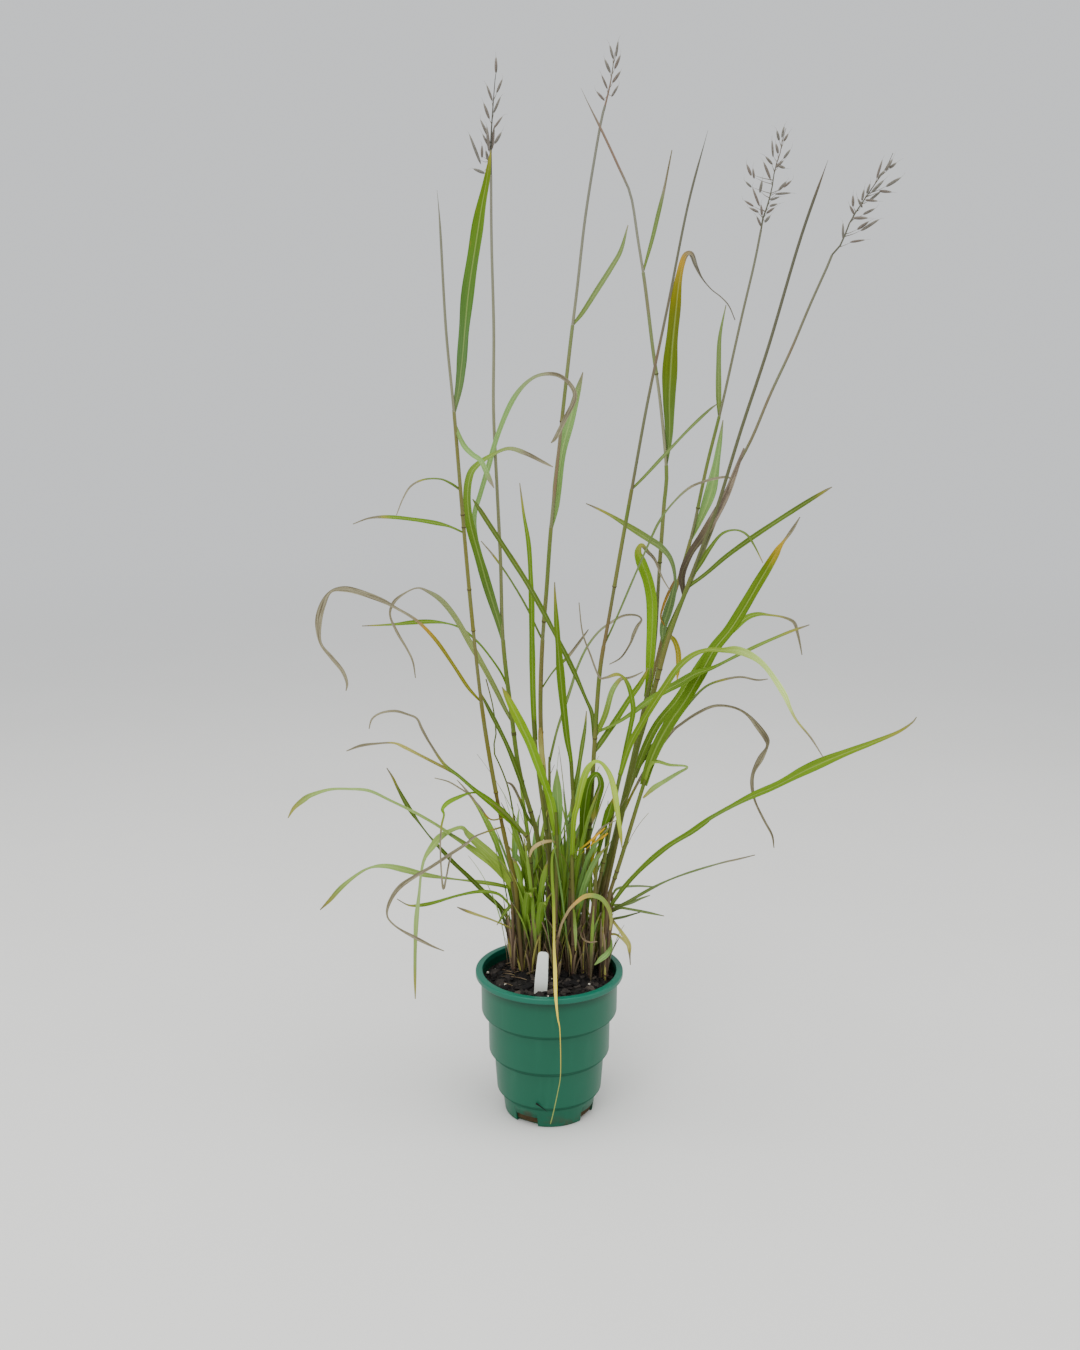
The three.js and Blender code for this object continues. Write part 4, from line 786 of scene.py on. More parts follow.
leaf("dry", -0.12, 0.1, [[501, 827, 2], [486, 832, 2], [474, 837, 2.2], [466, 844, 3.2], [449, 855, 3.5],
    [431, 867, 3.5], [414, 877, 4], [402, 885, 5], [394, 894, 4.5], [388.5, 905, 3.5], [387, 914, 2.2],
    [390, 921, 2], [399.6, 929, 2.2], [416, 938, 3.8], [432, 946, 2.5], [444, 951, 1]], loose=True)

stem("culm_left", [543, 0.04], 0.06, [0.0026, 0.0014], [[542, 890], [538, 839], [520, 774], [511, 710],
    [503, 640], [500.5, 560], [497, 487], [493.5, 410], [493.8, 330], [491.5, 240], [491, 175]],
    pale=0.85)
leaf("meadow", -0.06, 0.87, [[503, 640, 4], [498, 620, 7], [488, 588, 9.5], [476, 547.5, 9],
    [469, 520, 8], [467, 494, 8.5], [470, 475, 6.5], [477, 465, 5], [490, 456, 4], [508, 448.5, 4],
    [525, 453, 4.5], [545, 463, 3], [553, 467, 1]])
leaf("blue", 0.025, 0.76, [[503, 642, 3], [490, 592, 3], [477, 540, 3], [474.5, 515, 4.5], [480, 495, 5],
    [488, 468, 5], [497, 437, 5], [510, 405, 5], [523, 386, 4], [538, 375.5, 3.5], [556, 374.5, 4],
    [569, 383, 4], [575, 397, 4.5], [566, 417, 4.5], [556, 437, 4], [551, 443, 1]])
leaf("hoary", -0.04, 0.58, [[511, 722, 3], [500, 698, 5], [486, 671, 5.5], [470, 643, 6], [455, 617, 6],
    [441, 600, 5], [427, 591, 3], [417, 588, 1.8], [405, 593, 2], [394, 602, 3.5], [390, 615, 2.2],
    [397, 632, 3], [407, 649, 2.2], [413, 662, 2], [415.5, 678, 1]])
leaf("vivid", 0.03, 0.97, [[509, 690, 2], [500.6, 672, 2.2], [484.4, 649.4, 2], [472, 636.5, 2.2],
    [460, 627.7, 2.2], [447, 623.4, 2], [430, 621.6, 4.2], [412, 622.4, 4.5], [391.5, 624.5, 2.5],
    [362, 626, 1]])
leaf("green", -0.025, 1, [[528, 805, 4], [517.7, 772, 5], [505.6, 742, 4.5], [489.4, 710, 4],
    [478, 688, 1]])
leaf("green", -0.02, 0.6, [[533, 828, 3], [525.8, 813.6, 3], [517.7, 795, 3], [512, 785, 2.8],
    [506, 782, 1]])

stem("culm_mid_left", [551, 0.057], 0.09, [0.0026, 0.0014], [[551, 900], [545, 795], [540.6, 720],
    [542, 650], [546.7, 588], [551, 528], [560, 438], [570, 347], [577, 290], [586, 212], [600, 127],
    [605, 106]], pale=0.8)
leaf("sage", 0.04, 0.97, [[573, 325, 2.5], [583, 312, 4.5], [597, 290, 5], [611, 268, 5], [621, 250, 4],
    [628, 225, 1]])
leaf("blue", 0.06, 0.98, [[551.5, 528, 4], [555.5, 505, 8], [558, 480, 9], [562, 450, 9.5],
    [570, 420, 9.5], [578, 390, 6], [583, 372, 1]])
leaf("straw", -0.004, 1.2, [[544.5, 792, 3], [543.5, 770, 5.5], [541.5, 750, 6], [540.5, 734, 5],
    [540, 728, 3]])
leaf("green", 0.03, 0.85, [[541.5, 640, 2.2], [527.8, 609.4, 2], [509.6, 578.4, 2], [493.4, 555.6, 2],
    [481, 541, 1]])
leaf("green", -0.012, 0.6, [[541, 690, 1.8], [553.5, 671, 2], [568.3, 656.3, 3], [581.7, 638.8, 2.5],
    [588.5, 629.4, 1]])

stem("culm_mid_right", [592, 0.05], 0, [0.0026, 0.0012], [[602, 885], [617, 830], [637, 740], [650, 680],
    [655, 640], [657, 610], [659.5, 567], [664, 505], [666.5, 470], [660, 400], [653, 350], [645, 285],
    [638, 240], [631, 196], [620, 170], [610, 148], [600, 127], [588, 103], [581, 88]], pale=1.0,
    point=0.04)
leaf("sage", -0.025, 0.66, [[643, 272, 2], [652, 240, 4], [658, 215, 4], [664, 190, 2.6], [669, 165, 1.7],
    [672, 150, 1]])
leaf("yellowing", -0.07, 0.71, [[666.5, 465, 3], [669, 435, 7], [669, 405, 12], [669.5, 378, 14],
    [671.5, 345, 13], [675, 310, 10], [678.5, 280, 8], [684, 258, 6], [691, 254, 4.5], [696, 266, 3.4],
    [702, 278, 1.6], [711, 289, 1.2], [721, 297, 1.2], [729, 306, 1.2], [735, 320, 1]])
leaf("bright", -0.045, 0.78, [[648, 697, 6], [649.5, 668, 8], [651.5, 628, 10.5], [651.5, 601, 10.5],
    [648, 581, 11], [641.5, 563, 11], [638.5, 552, 7], [642, 545.5, 4], [648, 552, 3.5], [655, 560, 3],
    [662, 577, 1.8], [670, 590.5, 1]])

print("stems so far:", len(STEMS))

# %% Culms in the middle and on the right
stem("culm_centre", [581, 0.036], -0.09, [0.0026, 0.0011], [[584, 905], [590, 820], [595, 737],
    [600, 670], [608.6, 620], [620.8, 550], [632, 488], [648, 400], [668, 305], [688, 205], [708, 130]],
    pale=0.35, point=0.04)
leaf("sage", -0.04, 1, [[632, 489, 2.5], [643, 478, 3], [657, 463, 3], [671, 448, 3], [690, 428, 3],
    [708, 411, 2.5], [717, 404, 1]])
leaf("sage", -0.01, 0.8, [[604, 646, 2], [617.4, 616, 2], [633, 579.6, 2], [649, 543, 2],
    [658.4, 523, 2.5], [670.6, 505.6, 2], [688, 488.7, 2.5], [705.5, 481, 2.5], [724.6, 477, 2.5],
    [732, 479, 1]])
leaf("green", -0.06, 1.12, [[595, 740, 5], [592, 714, 4.5], [586, 699, 3.5], [573, 669.6, 5],
    [553.5, 630.7, 4.5], [528.4, 585, 5.5], [507, 551.5, 5], [489.4, 524.6, 5], [480, 510, 4.5],
    [472.6, 499, 1]])
leaf("pale", -0.03, 0.72, [[596, 735, 5], [605, 715.4, 6], [611, 694, 6], [616, 684.4, 5],
    [621.3, 679, 3.5], [628, 678, 2.5], [635, 675.7, 2], [643, 671.6, 1]])
leaf("lime", 0.01, 1, [[594, 752, 4], [601, 742, 6], [614.6, 722, 6], [629.4, 699, 6], [641.5, 681.7, 5],
    [648, 668, 1]])
leaf("leek", -0.11, 0.97, [[595, 733, 2.5], [614.6, 724, 3.5], [630.7, 714, 4.5], [648, 701, 6],
    [664.4, 691, 7.5], [681, 682, 8.5], [695.4, 673.7, 6.5], [713, 667.6, 4], [737, 655.5, 3.2],
    [761, 644, 3.5], [789, 632, 3], [809.4, 624.8, 1]])

stem("culm_right_back", [584, 0.057], 0.11, [0.0024, 0.0013], [[600, 890], [612, 845], [624, 795],
    [638, 735], [654, 672], [668, 615], [680.6, 574], [693, 530], [707, 465], [722, 405], [741, 320],
    [754, 265], [761, 230]], pale=0.45)
leaf("sage", 0.04, 1, [[719, 416, 3], [718.6, 395, 5.5], [718.7, 360, 5], [720, 335, 3], [726, 305, 1]])
leaf("blue", 0.06, 0.98, [[690.6, 540, 3], [702, 515, 8], [709.5, 495, 11], [713.5, 478, 10],
    [718, 452, 6], [723, 420, 1]])

stem("spear_right", [600, 0.026], -0.07, [0.0026, 0.0014], [[605, 895], [619, 830], [636, 755],
    [652, 700], [668, 640], [688, 585], [702, 548], [718, 505], [741, 430], [769, 345], [800, 240],
    [828, 160]], pale=0.15, point=0.03)
leaf("green", -0.06, 0.98, [[691, 577, 4], [700.5, 563, 5], [709.6, 548.6, 4.5], [721.7, 534, 3],
    [735, 530, 1.6], [746, 534, 2], [754, 545, 2], [763, 563, 1]])
leaf("green", -0.1, 0.97, [[688, 587, 4], [706, 573.6, 4], [726, 556.5, 5], [750, 539, 5],
    [778.5, 520, 5], [806.7, 502, 4.5], [824, 491.5, 3], [832, 487, 1]])

stem("culm_right", [598, 0.033], 0.02, [0.0026, 0.0013], [[603, 885], [614, 845], [631, 769], [643, 727],
    [655.7, 682], [666.5, 636], [677, 610.6], [689, 586], [704, 550], [715, 522], [733, 475], [752, 438],
    [770, 395], [791, 350], [810, 305], [828, 265], [832, 255]], pale=0.5)
leaf("slate", -0.06, 0.93, [[662, 645, 3], [663, 628, 7], [668, 611, 9], [673, 594, 7], [675, 580, 3],
    [673.5, 567, 3.5], [669, 556, 5], [661, 547, 7], [650, 539.5, 7], [631.5, 528, 5.5], [610, 515, 3.5],
    [594, 507, 2], [586, 503.5, 1]])
leaf("gold", -0.03, 1, [[667, 634, 3], [674, 640, 5], [678, 651, 6], [678.5, 665, 5], [677, 680, 1]])
leaf("brown", -0.012, 0.5, [[684, 596, 4], [682, 575, 7], [690.7, 552.7, 7], [704, 534, 9], [716, 514, 9],
    [727, 493.5, 7], [736, 470, 5], [744, 448, 1.5]], loose=True)
leaf("rust", -0.045, 1.2, [[669, 630, 1], [661, 619, 1.6], [663, 607, 2.6], [668, 594, 3],
    [674, 581, 1.6]])

print("stems so far:", len(STEMS))

# %% Tall leafy shoots
stem("shoot_tall", [556, 0.022], -0.02, [0.0022, 0.0016], [[553, 900], [546, 830], [538, 770],
    [533.5, 720]])
leaf("vivid", 0.09, 0.96, [[535, 740, 5], [533, 695, 6], [532, 640, 6], [531.5, 600, 5.5],
    [529, 547.5, 4.5], [523.7, 514, 3], [519.7, 483, 1]])

stem("shoot_centre", [567, 0.014], -0.016, [0.0022, 0.0016], [[570, 900], [573, 850], [573, 800],
    [571, 762]])
leaf("vivid", -0.06, 0.97, [[572.5, 790, 4], [571, 761, 4.5], [567, 737, 6], [563, 700.6, 8],
    [560, 667, 8], [558, 641.5, 6], [556.5, 622, 5], [555, 595, 2.5], [554.6, 582, 1]])
leaf("orange", 0, 1.2, [[565, 861, 0.8, -0.004], [576, 852, 1, -0.016], [588, 843, 2, -0.028],
    [597, 835, 2.6, -0.034], [605, 828, 1, -0.038]])
leaf("orange", 0, 1.2, [[573, 862, 0.7, -0.004], [589, 846.5, 0.8, -0.026], [597, 840.5, 1.6, -0.034],
    [603, 837, 2.4, -0.036], [608, 833, 1, -0.038]])
leaf("green", 0.03, 0.97, [[573, 800, 3], [578.9, 766.5, 4], [582.3, 745, 5], [585, 728, 3],
    [586.5, 711, 1]])

stem("shoot_bright", [555, 0.003], -0.01, [0.0022, 0.0016], [[556, 900], [557, 850], [556, 812]])
leaf("bright", -0.04, 1, [[556.5, 835, 7], [551, 803, 9], [545, 783, 8], [538, 764, 8], [529, 740.5, 10],
    [518, 718.5, 9.5], [508, 698.5, 6.5], [502, 687, 1]])
leaf("cool", -0.008, 1.1, [[557, 850, 6], [558, 815, 9.5], [557, 790, 9.5], [557, 769, 1]])
leaf("strand", 0, 1.2, [[556.5, 843, 3, 0.001], [552.3, 856, 2.4, -0.012], [552, 875, 2.8, -0.024],
    [553.5, 900, 3.2, -0.038], [554, 925, 2.8, -0.05], [554, 945, 2.4, -0.06], [555, 968, 3.8, -0.072],
    [555.4, 985, 3.8, -0.083], [556, 1000, 3, -0.09], [557.8, 1018, 1.7, -0.092],
    [560, 1032, 0.9, -0.092], [560.6, 1073, 0.9, -0.091], [557.8, 1092, 1, -0.09],
    [552.8, 1115, 1, -0.089], [550.4, 1124, 0.8, -0.089]])
leaf("tan", -0.018, 1.1, [[559, 843, 1.2], [551, 841, 2.6], [541, 843, 3.6], [532.6, 849, 3.6],
    [529.5, 857, 1.6]])
leaf("green", 0.008, 1.2, [[556.4, 896, 2], [554.5, 882, 4.6], [554, 866, 4.8], [555, 852, 3],
    [556, 840, 1]])

stem("shoot_far_right", [601, 0.004], -0.016, [0.0024, 0.0018], [[609, 895], [622, 855.4], [637, 806],
    [645, 780]])
leaf("rusting", -0.03, 0.92, [[644, 785, 8], [649.6, 764, 10], [659, 742, 11.5], [671, 721, 12],
    [686, 698, 12], [699.4, 675, 12.5], [713, 650, 12], [729, 630, 11], [742, 610, 11], [755.6, 587, 11],
    [766, 570, 9.8], [775, 555, 8], [779, 548, 5.5], [784, 541, 3], [792, 530, 3.5], [800, 517, 1]])
leaf("pale", -0.02, 1, [[642, 792, 3], [652, 763, 3.5], [670, 765, 3], [684, 765.8, 2.5], [687, 768, 2.5],
    [678, 773, 3.5], [664.4, 781.3, 4.2], [653.6, 788, 5.5], [643, 798, 2]])

stem("shoot_yellow_arch", [577, 0.047], 0.03, [0.0022, 0.0017], [[600, 890], [612, 845], [624, 805],
    [637.5, 768]])
leaf("lime", 0.07, 0.83, [[634, 777, 6], [645, 748, 8], [658, 723, 8], [676.5, 700.6, 8], [693, 675, 8],
    [707, 655, 8], [720, 640, 8], [732.7, 629, 8], [746, 618, 6], [758, 614, 4], [770, 615, 2.2],
    [784, 617.4, 2.5], [794, 622.5, 3.5], [797.5, 633, 3], [800, 644, 2], [802, 655, 1]])
leaf("green", 0.06, 0.75, [[637, 768, 5], [652, 747, 5], [674, 722, 4], [690, 702, 3], [706, 686.4, 2.5],
    [723.6, 679.7, 2.5], [741, 677, 2.2], [757, 680, 2], [768, 679, 1]])
leaf("dry", 0.02, 0.12, [[620, 820, 3], [634, 790, 3], [650, 762, 3], [671, 733, 3], [682, 723.4, 3],
    [697, 713.4, 3.2], [714, 706, 3], [732, 707, 2.5], [746.5, 714, 3], [758.6, 727.5, 6],
    [766.5, 739, 6], [767, 747, 3], [760.6, 758.4, 6.5], [753.5, 772, 4], [752, 785, 4], [755, 801, 2.5],
    [764, 820, 2.5], [772, 835, 2.3], [774, 848, 1]], loose=True)

stem("shoot_white_arch", [590, 0.01], -0.025, [0.0022, 0.0017], [[596, 895], [606, 850], [614, 805],
    [620, 775]])
leaf("frosted", -0.14, 0.93, [[620, 775, 5], [629.4, 746, 6.5], [640, 726, 7], [652, 706, 7],
    [664.4, 687, 7], [677.5, 668, 6], [692, 655.5, 5.5], [707, 650, 4.5], [722, 650, 5], [735.4, 650, 8],
    [748, 654, 7.5], [760, 661.5, 6], [770.4, 673, 5.5], [784, 694, 5.5], [790, 708, 3.5],
    [797, 721, 2.5], [811, 738, 2], [823, 757, 1]])
leaf("lime", -0.02, 0.6, [[618, 785, 4], [626, 747.7, 5], [630.7, 726, 5], [633.3, 710, 5], [631, 694, 5],
    [627, 682.5, 4.5], [621.3, 675.7, 3], [615.4, 674.5, 4], [606, 677.6, 2.5], [599, 676.5, 2],
    [590.5, 655, 2], [582.4, 632, 1.6], [579, 602.5, 1]])

print("stems so far:", len(STEMS))

# %% Low shoots on the right
stem("shoot_low_right", [605, 0.012], -0.004, [0.002, 0.0016], [[607, 930], [610, 905]])
leaf("lime", -0.07, 0.98, [[610, 907, 3.5], [625, 886, 5], [645, 865, 5], [668, 846, 5.8],
    [690, 832.5, 6], [705, 822, 5], [712, 817, 4], [728, 808, 5], [749, 797, 6], [776.5, 785, 7.5],
    [801, 772, 10], [825, 761, 10], [850, 751, 7.5], [874, 742, 4.8], [898, 732, 3.5], [911.7, 723, 2],
    [916.6, 717, 1]])

stem("tuft_right", [604, 0.02], 0.002, [0.002, 0.0014], [[606, 930], [612, 905], [611, 890]])
leaf("sage", -0.09, 0.8, [[611, 910, 3.5], [627.5, 902, 3.5], [649, 889.7, 3], [669, 880, 2.2],
    [690.6, 872, 2], [721, 863, 2], [736.5, 859.5, 2], [755, 855, 1]])
leaf("sage", 0.04, 0.98, [[612, 905, 3], [622, 905, 3], [631.5, 902.5, 3], [641, 898.4, 2.5],
    [650, 895.3, 1]])
leaf("sage", -0.05, 0.98, [[610, 912, 3], [620, 908, 3], [629, 909, 3], [645, 912, 2.7], [664, 916, 1]])
leaf("sage", -0.02, 0.95, [[609, 919.5, 2.5], [623.4, 917, 2.5], [634, 914, 1.8], [641, 912, 1]])
leaf("sage", 0.07, 1, [[611.5, 896, 2], [618, 888.3, 2.5], [635.6, 886, 2.5], [657, 887, 1]])

stem("dry_right", [606, -0.006], -0.002, [0.0016, 0.001], [[610, 935], [613, 918]])
leaf("straw", 0.008, 0.75, [[612, 920, 3], [619.4, 929.4, 3.5], [625, 937.5, 4.5], [629, 945.5, 5],
    [629.8, 956, 2], [630.4, 965, 1]])
leaf("straw", 0.03, 1, [[610, 934, 2.5], [616.7, 934.8, 2.5], [624.8, 941.5, 3], [630, 949, 1]])
leaf("blue", -0.014, 1.1, [[610, 934, 2], [611, 946, 3.5], [607, 954, 5.5], [601, 959, 5.5],
    [594.5, 965, 1]])

stem("dry_arch_front", [557.5, -0.012], -0.006, [0.0014, 0.001], [[557, 955], [557.8, 937]])
leaf("withered", -0.014, 1.1, [[557.8, 940, 3], [561, 926, 2.5], [565.6, 916, 3], [572, 906.5, 3.5],
    [586, 896, 4.5], [600.6, 898, 4.5], [609, 909, 4.2], [611.3, 920, 3.5], [610, 930, 1.5]])

print("stems so far:", len(STEMS))

# %% Low shoots on the left
stem("shoot_low_left", [531, 0.01], -0.02, [0.002, 0.0012], [[533, 900], [529, 845], [518.5, 827],
    [505, 813.6], [490, 801], [476, 791.3], [465.5, 782], [454, 772]])
leaf("vivid", -0.06, 0.56, [[524, 835, 3], [513, 823, 6], [503, 813, 8], [490, 801.5, 6.5],
    [476, 791, 4.5], [460, 777, 4], [444, 764, 2.8], [431, 745, 2.6], [422, 729, 3], [417, 718.7, 2.2],
    [408, 714.5, 2.3], [395, 711, 2.8], [381, 713, 2.2], [372, 719, 2], [369, 729, 1]])
leaf("straw", -0.08, 0.62, [[456, 774, 3.5], [443, 767, 3], [421, 755.7, 3.2], [404, 747, 3.5],
    [393, 743, 1.8], [378, 743.5, 2.2], [361, 745.6, 3], [346.5, 751, 1]])
leaf("bright", -0.055, 0.38, [[478, 793, 2], [470, 793, 2], [459, 797, 4], [448, 802.5, 5],
    [442.5, 809, 3.5], [444, 815, 2], [441.5, 826, 2], [440.3, 846, 1.8], [441.5, 874, 2],
    [443.5, 889, 2.5], [446.5, 876, 2], [449.5, 861, 2], [452, 854, 1]])
leaf("gold", 0.024, 0.3, [[508, 816, 2], [491, 819.6, 1.8], [479, 805.5, 1.8], [468, 794, 1.8],
    [459.5, 788, 1.8], [448, 781.5, 1.6], [434.6, 778, 1]])

stem("shoot_bent", [518, 0.028], -0.012, [0.0024, 0.0018], [[518, 915], [512, 882]])
leaf("mint", -0.085, 1, [[512, 884, 8], [500, 866.5, 11], [490, 854.6, 10.5], [478, 843.5, 8.5],
    [468, 834.4, 5.5], [461.5, 827.7, 4], [451, 830.5, 5], [440, 837, 8], [433, 845.5, 6.5],
    [425, 857.5, 3.2], [421.3, 872, 2.8], [419, 895, 3.6], [416.3, 920, 4.4], [415.2, 950, 4.2],
    [415, 975, 3], [415.3, 999, 1]])
leaf("mint", -0.11, 1, [[513, 886, 7], [495, 865.5, 9], [480, 854.5, 7.5], [462, 842, 4.5],
    [449.4, 833.7, 4], [434.6, 823.6, 3], [413, 811.5, 3], [391.5, 801, 2.8], [370, 791, 3],
    [350, 789, 2.6], [330, 789.4, 3], [312, 794.7, 4.5], [304, 799.4, 6], [294, 808, 4], [288, 818, 1]])

stem("shoot_long_left", [512, 0.04], 0.004, [0.002, 0.0016], [[511, 935], [508, 918]])
leaf("green", -0.06, 0.97, [[508, 920, 3], [501, 908, 4.5], [485.7, 893.6, 5], [470, 878, 5],
    [454, 863, 4.5], [440, 848, 3.5], [429, 835.7, 2], [418.4, 821.6, 2.5], [407.7, 806, 5],
    [398, 788.5, 3.2], [393, 778, 2.5], [386.8, 768, 1]])

stem("shoot_left_back", [522, 0.046], 0.01, [0.002, 0.0016], [[521, 920], [517, 888]])
leaf("pale", -0.04, 0.99, [[517, 890, 3], [499, 885, 4], [480, 882, 4], [462, 880, 2.2],
    [444, 877.7, 2.8], [424, 874.5, 5], [404, 869.5, 7.2], [386, 866, 5], [371, 867.4, 2.2],
    [358, 874, 3], [341.7, 887, 5], [330, 900, 4.2], [320, 910, 1]])

stem("shoot_left_front", [514, 0.012], -0.006, [0.0018, 0.0013], [[513, 928], [512, 903]])
leaf("lime", -0.02, 0.92, [[512, 908, 2], [499, 894.3, 3], [480, 891.5, 3.2], [458, 895.5, 3],
    [436, 902, 3.4], [422, 905, 3.6], [409, 905.3, 1.8], [397, 899, 1]])
leaf("straw", -0.014, 0.85, [[513, 929, 1.6], [492.5, 920, 2], [475, 914, 3], [464, 910, 2.8],
    [457, 907, 1]])
leaf("green", -0.02, 0.95, [[512, 905, 3], [506, 911, 4], [497, 925, 1]])

stem("dry_thin_left", [530, 0.054], 0.02, [0.0014, 0.0007], [[527, 885], [524.4, 848.7], [515, 821.7],
    [509, 790.7], [501.5, 769], [493.5, 750.4], [496, 734], [493, 707], [486, 679]])

print("stems so far:", len(STEMS))

# %% Short shoots in the middle
stem("shoot_folded", [573, 0.0], -0.01, [0.002, 0.0016], [[573, 905], [572, 855]])
leaf("pale", -0.014, 1, [[573, 900, 2], [574.5, 918, 3], [575.5, 935, 3], [575.5, 951, 1]])
leaf("sunlit", -0.044, 0.99, [[572, 858, 4.5], [574, 820, 5], [577.5, 805, 6], [581, 788, 7],
    [586, 772, 6.5], [592, 763.5, 4], [598, 761.5, 3], [604, 765.5, 4], [610.5, 776.5, 6],
    [615, 794, 6.5], [617.5, 812, 5], [620.5, 833, 4], [622, 848, 1]])

stem("shoot_dark_fold", [583, 0.007], 0.003, [0.002, 0.0016], [[584, 900], [583, 845]])
leaf("deep", -0.008, 0.98, [[583, 848, 7], [584, 815, 9.5], [587, 790, 9], [591.5, 778, 7],
    [597.5, 774.5, 6], [601, 784, 7], [597.5, 798, 8], [594.4, 810, 7.5], [592.5, 824, 1]])
leaf("sheath", -0.03, 1.2, [[584, 905, 1.5], [580.5, 928, 1.8], [582.5, 938, 2], [589, 942, 2],
    [597, 941.5, 1]])

stem("shoot_short_right", [590, -0.006], -0.006, [0.002, 0.0015], [[594, 900], [598, 852]])
leaf("deep", -0.006, 1, [[598, 856, 3], [604, 826, 6], [609, 812, 9], [613, 798, 1]])
leaf("gold", -0.014, 0.62, [[595, 880, 3], [592, 848, 3.5], [598, 832, 2.4], [606, 825, 1.4],
    [616, 820.5, 1]])
leaf("green", 0.012, 1.2, [[593.6, 906, 2], [591, 894, 4.6], [590, 878, 4.8], [591, 862, 3.6],
    [594, 846, 1]])

stem("arch_centre", [546, 0.026], 0.006, [0.002, 0.0012], [[549, 880], [550, 830], [549.5, 785],
    [549.3, 757]])
leaf("sage", 0.024, 0.6, [[549.3, 762, 3], [556.7, 731.5, 2.6], [563, 712, 3], [571.5, 686, 3],
    [577, 668.4, 2.6], [587, 647, 2.2], [599, 631.4, 2.2], [611, 622.5, 2.5], [623.5, 615.7, 2.5],
    [636, 615.2, 2], [641.5, 619.5, 2], [637.5, 626, 3.4], [633.5, 634.5, 3.6], [630, 644, 2.2],
    [621, 657.5, 1.8], [609.3, 664.4, 1]])

print("stems:", len(STEMS), "leaves:", sum(len(plan["leaves"]) for plan in STEMS))

# %% Build stems and leaves
TOPS = {}
# where each group's random draws start, so that every run grows the same plant
SEEDS = dict(stems=100, young=500, heads=900, soil=7)
# the clump is thick between these picture columns, and its blades are tall behind this depth
THICK, FRONT = (526, 597), 0.012
# fresh blades at a foot and how tall they grow, and old sheaths: in the thick of the clump and elsewhere
FRESH_MANY, FRESH_FEW = (4, 0.27), (1, 0.2)
SHEATHS_MANY, SHEATHS_FEW = 5, 4


def build_stems():
    """Each stem with its leaves and its growth is one piece; a loose leaf is a piece of its own."""
    for order, plan in enumerate(STEMS):
        random = np.random.default_rng(SEEDS["stems"] + order)
        piece, dead = Piece(), 0
        line = stem_line(plan["foot"], plan["lean"], plan["points"])
        collars = [on_stem(line, points[0][1]) for _, _, _, points, _ in plan["leaves"]]
        add_stem(piece, line, plan["girth"], collars, plan["pale"], plan["point"], plan["finish"])
        for (finish, reach, dies, points, loose), collar in zip(plan["leaves"], collars):
            start = resample(line, [collar])[0]
            holder = Piece() if loose else piece
            traced_blade(holder, finish, start, reach, dies, points, random)
            if loose:
                dead += 1
                holder.build(f"{plan['name']}_dead_blade_{dead}", f"{plan['name']}_dry_leaf_{dead}")
        column, depth = plan["foot"]
        middle = THICK[0] < column < THICK[1]
        fresh, tall = FRESH_MANY if middle and depth > FRONT else FRESH_FEW
        sheaths = SHEATHS_MANY if middle else SHEATHS_FEW
        threads = 1 if middle and order % 3 == 2 else 0
        add_growth(piece, foot_at(column, depth), plan["girth"][0], fresh, sheaths, threads, random, tall)
        piece.build(f"{plan['name']}_grass", plan["name"])
        TOPS[plan["name"]] = (line[-1], tangents(line)[-1], plan["girth"][1])


build_stems()
tell("stems, leaves and dry leaves")

# %% [markdown]
# ## Young shoots
# Behind and between the traced stems the clump is thick with young shoots that show only as short
# strokes. They are grown by rule: three green blades up a short stem and a dry strip at its foot, each
# drawn at random from a seed, so that the clump comes out the same on every run.

# %% Young shoots
GIRTH, TILT = (0.0019, 0.0014), 9
# how far blades spread to both sides of the shoot's own direction, and their forms
GREEN = dict(spread=40, rise=(74, 88), bend=(25, 75), length=(0.090, 0.190), width=(0.005, 0.008))
STRIP = dict(spread=60, rise=(72, 86), bend=(5, 50), length=(0.035, 0.070), width=(0.004, 0.005))
# the share of the stem's height at which its first green blade leaves it, and the step to the next
LEAVE = (0.4, 0.3)
DRAWS = 2**31


def draws(seed):
    """A run of numbers from 0 to 1: state = state * 1103515245 + 12345, kept under 2^31."""
    state = seed * 7919.0
    while True:
        state = (state * 1103515245.0 + 12345.0) % DRAWS
        yield state / DRAWS


def shoot(name, foot, height, turn, seed):
    """A short stem that leans outwards, its three blades and dry strip, and the growth at its foot."""
    source = draws(seed)
    random = np.random.default_rng(SEEDS["young"] + seed)
    ground = np.array([*foot, SOIL_TOP])
    piece = Piece()

    def between(low, high):
        return low + (high - low) * next(source)

    def at(up):
        return ground + [0, 0, up] + outwards(turn) * tan(radians(TILT)) * max(0, up - PEG_HIGH)

    def sprout(finish, up, kind):
        compass = turn + between(-kind["spread"], kind["spread"])
        rise, bend, length, width = (between(*kind[name]) for name in ("rise", "bend", "length", "width"))
        free_blade(piece, finish, at(up), compass, rise, bend, length, width, random)

    line = np.array([ground - [0, 0, PEG_DEEP], at(PEG_HIGH), at(height / 2), at(height)])
    add_stem(piece, line, GIRTH, [], random.uniform(0, 1))
    for i in range(3):
        sprout(random.choice(FRESH["finishes"]), height * (LEAVE[0] + LEAVE[1] * i), GREEN)
    sprout("sheath", PEG_HIGH + between(0.001, 0.006), STRIP)
    add_growth(piece, ground, GIRTH[0], fresh=4, sheaths=SHEATHS_MANY, threads=1, random=random)
    piece.build(f"{name}_grass", name)


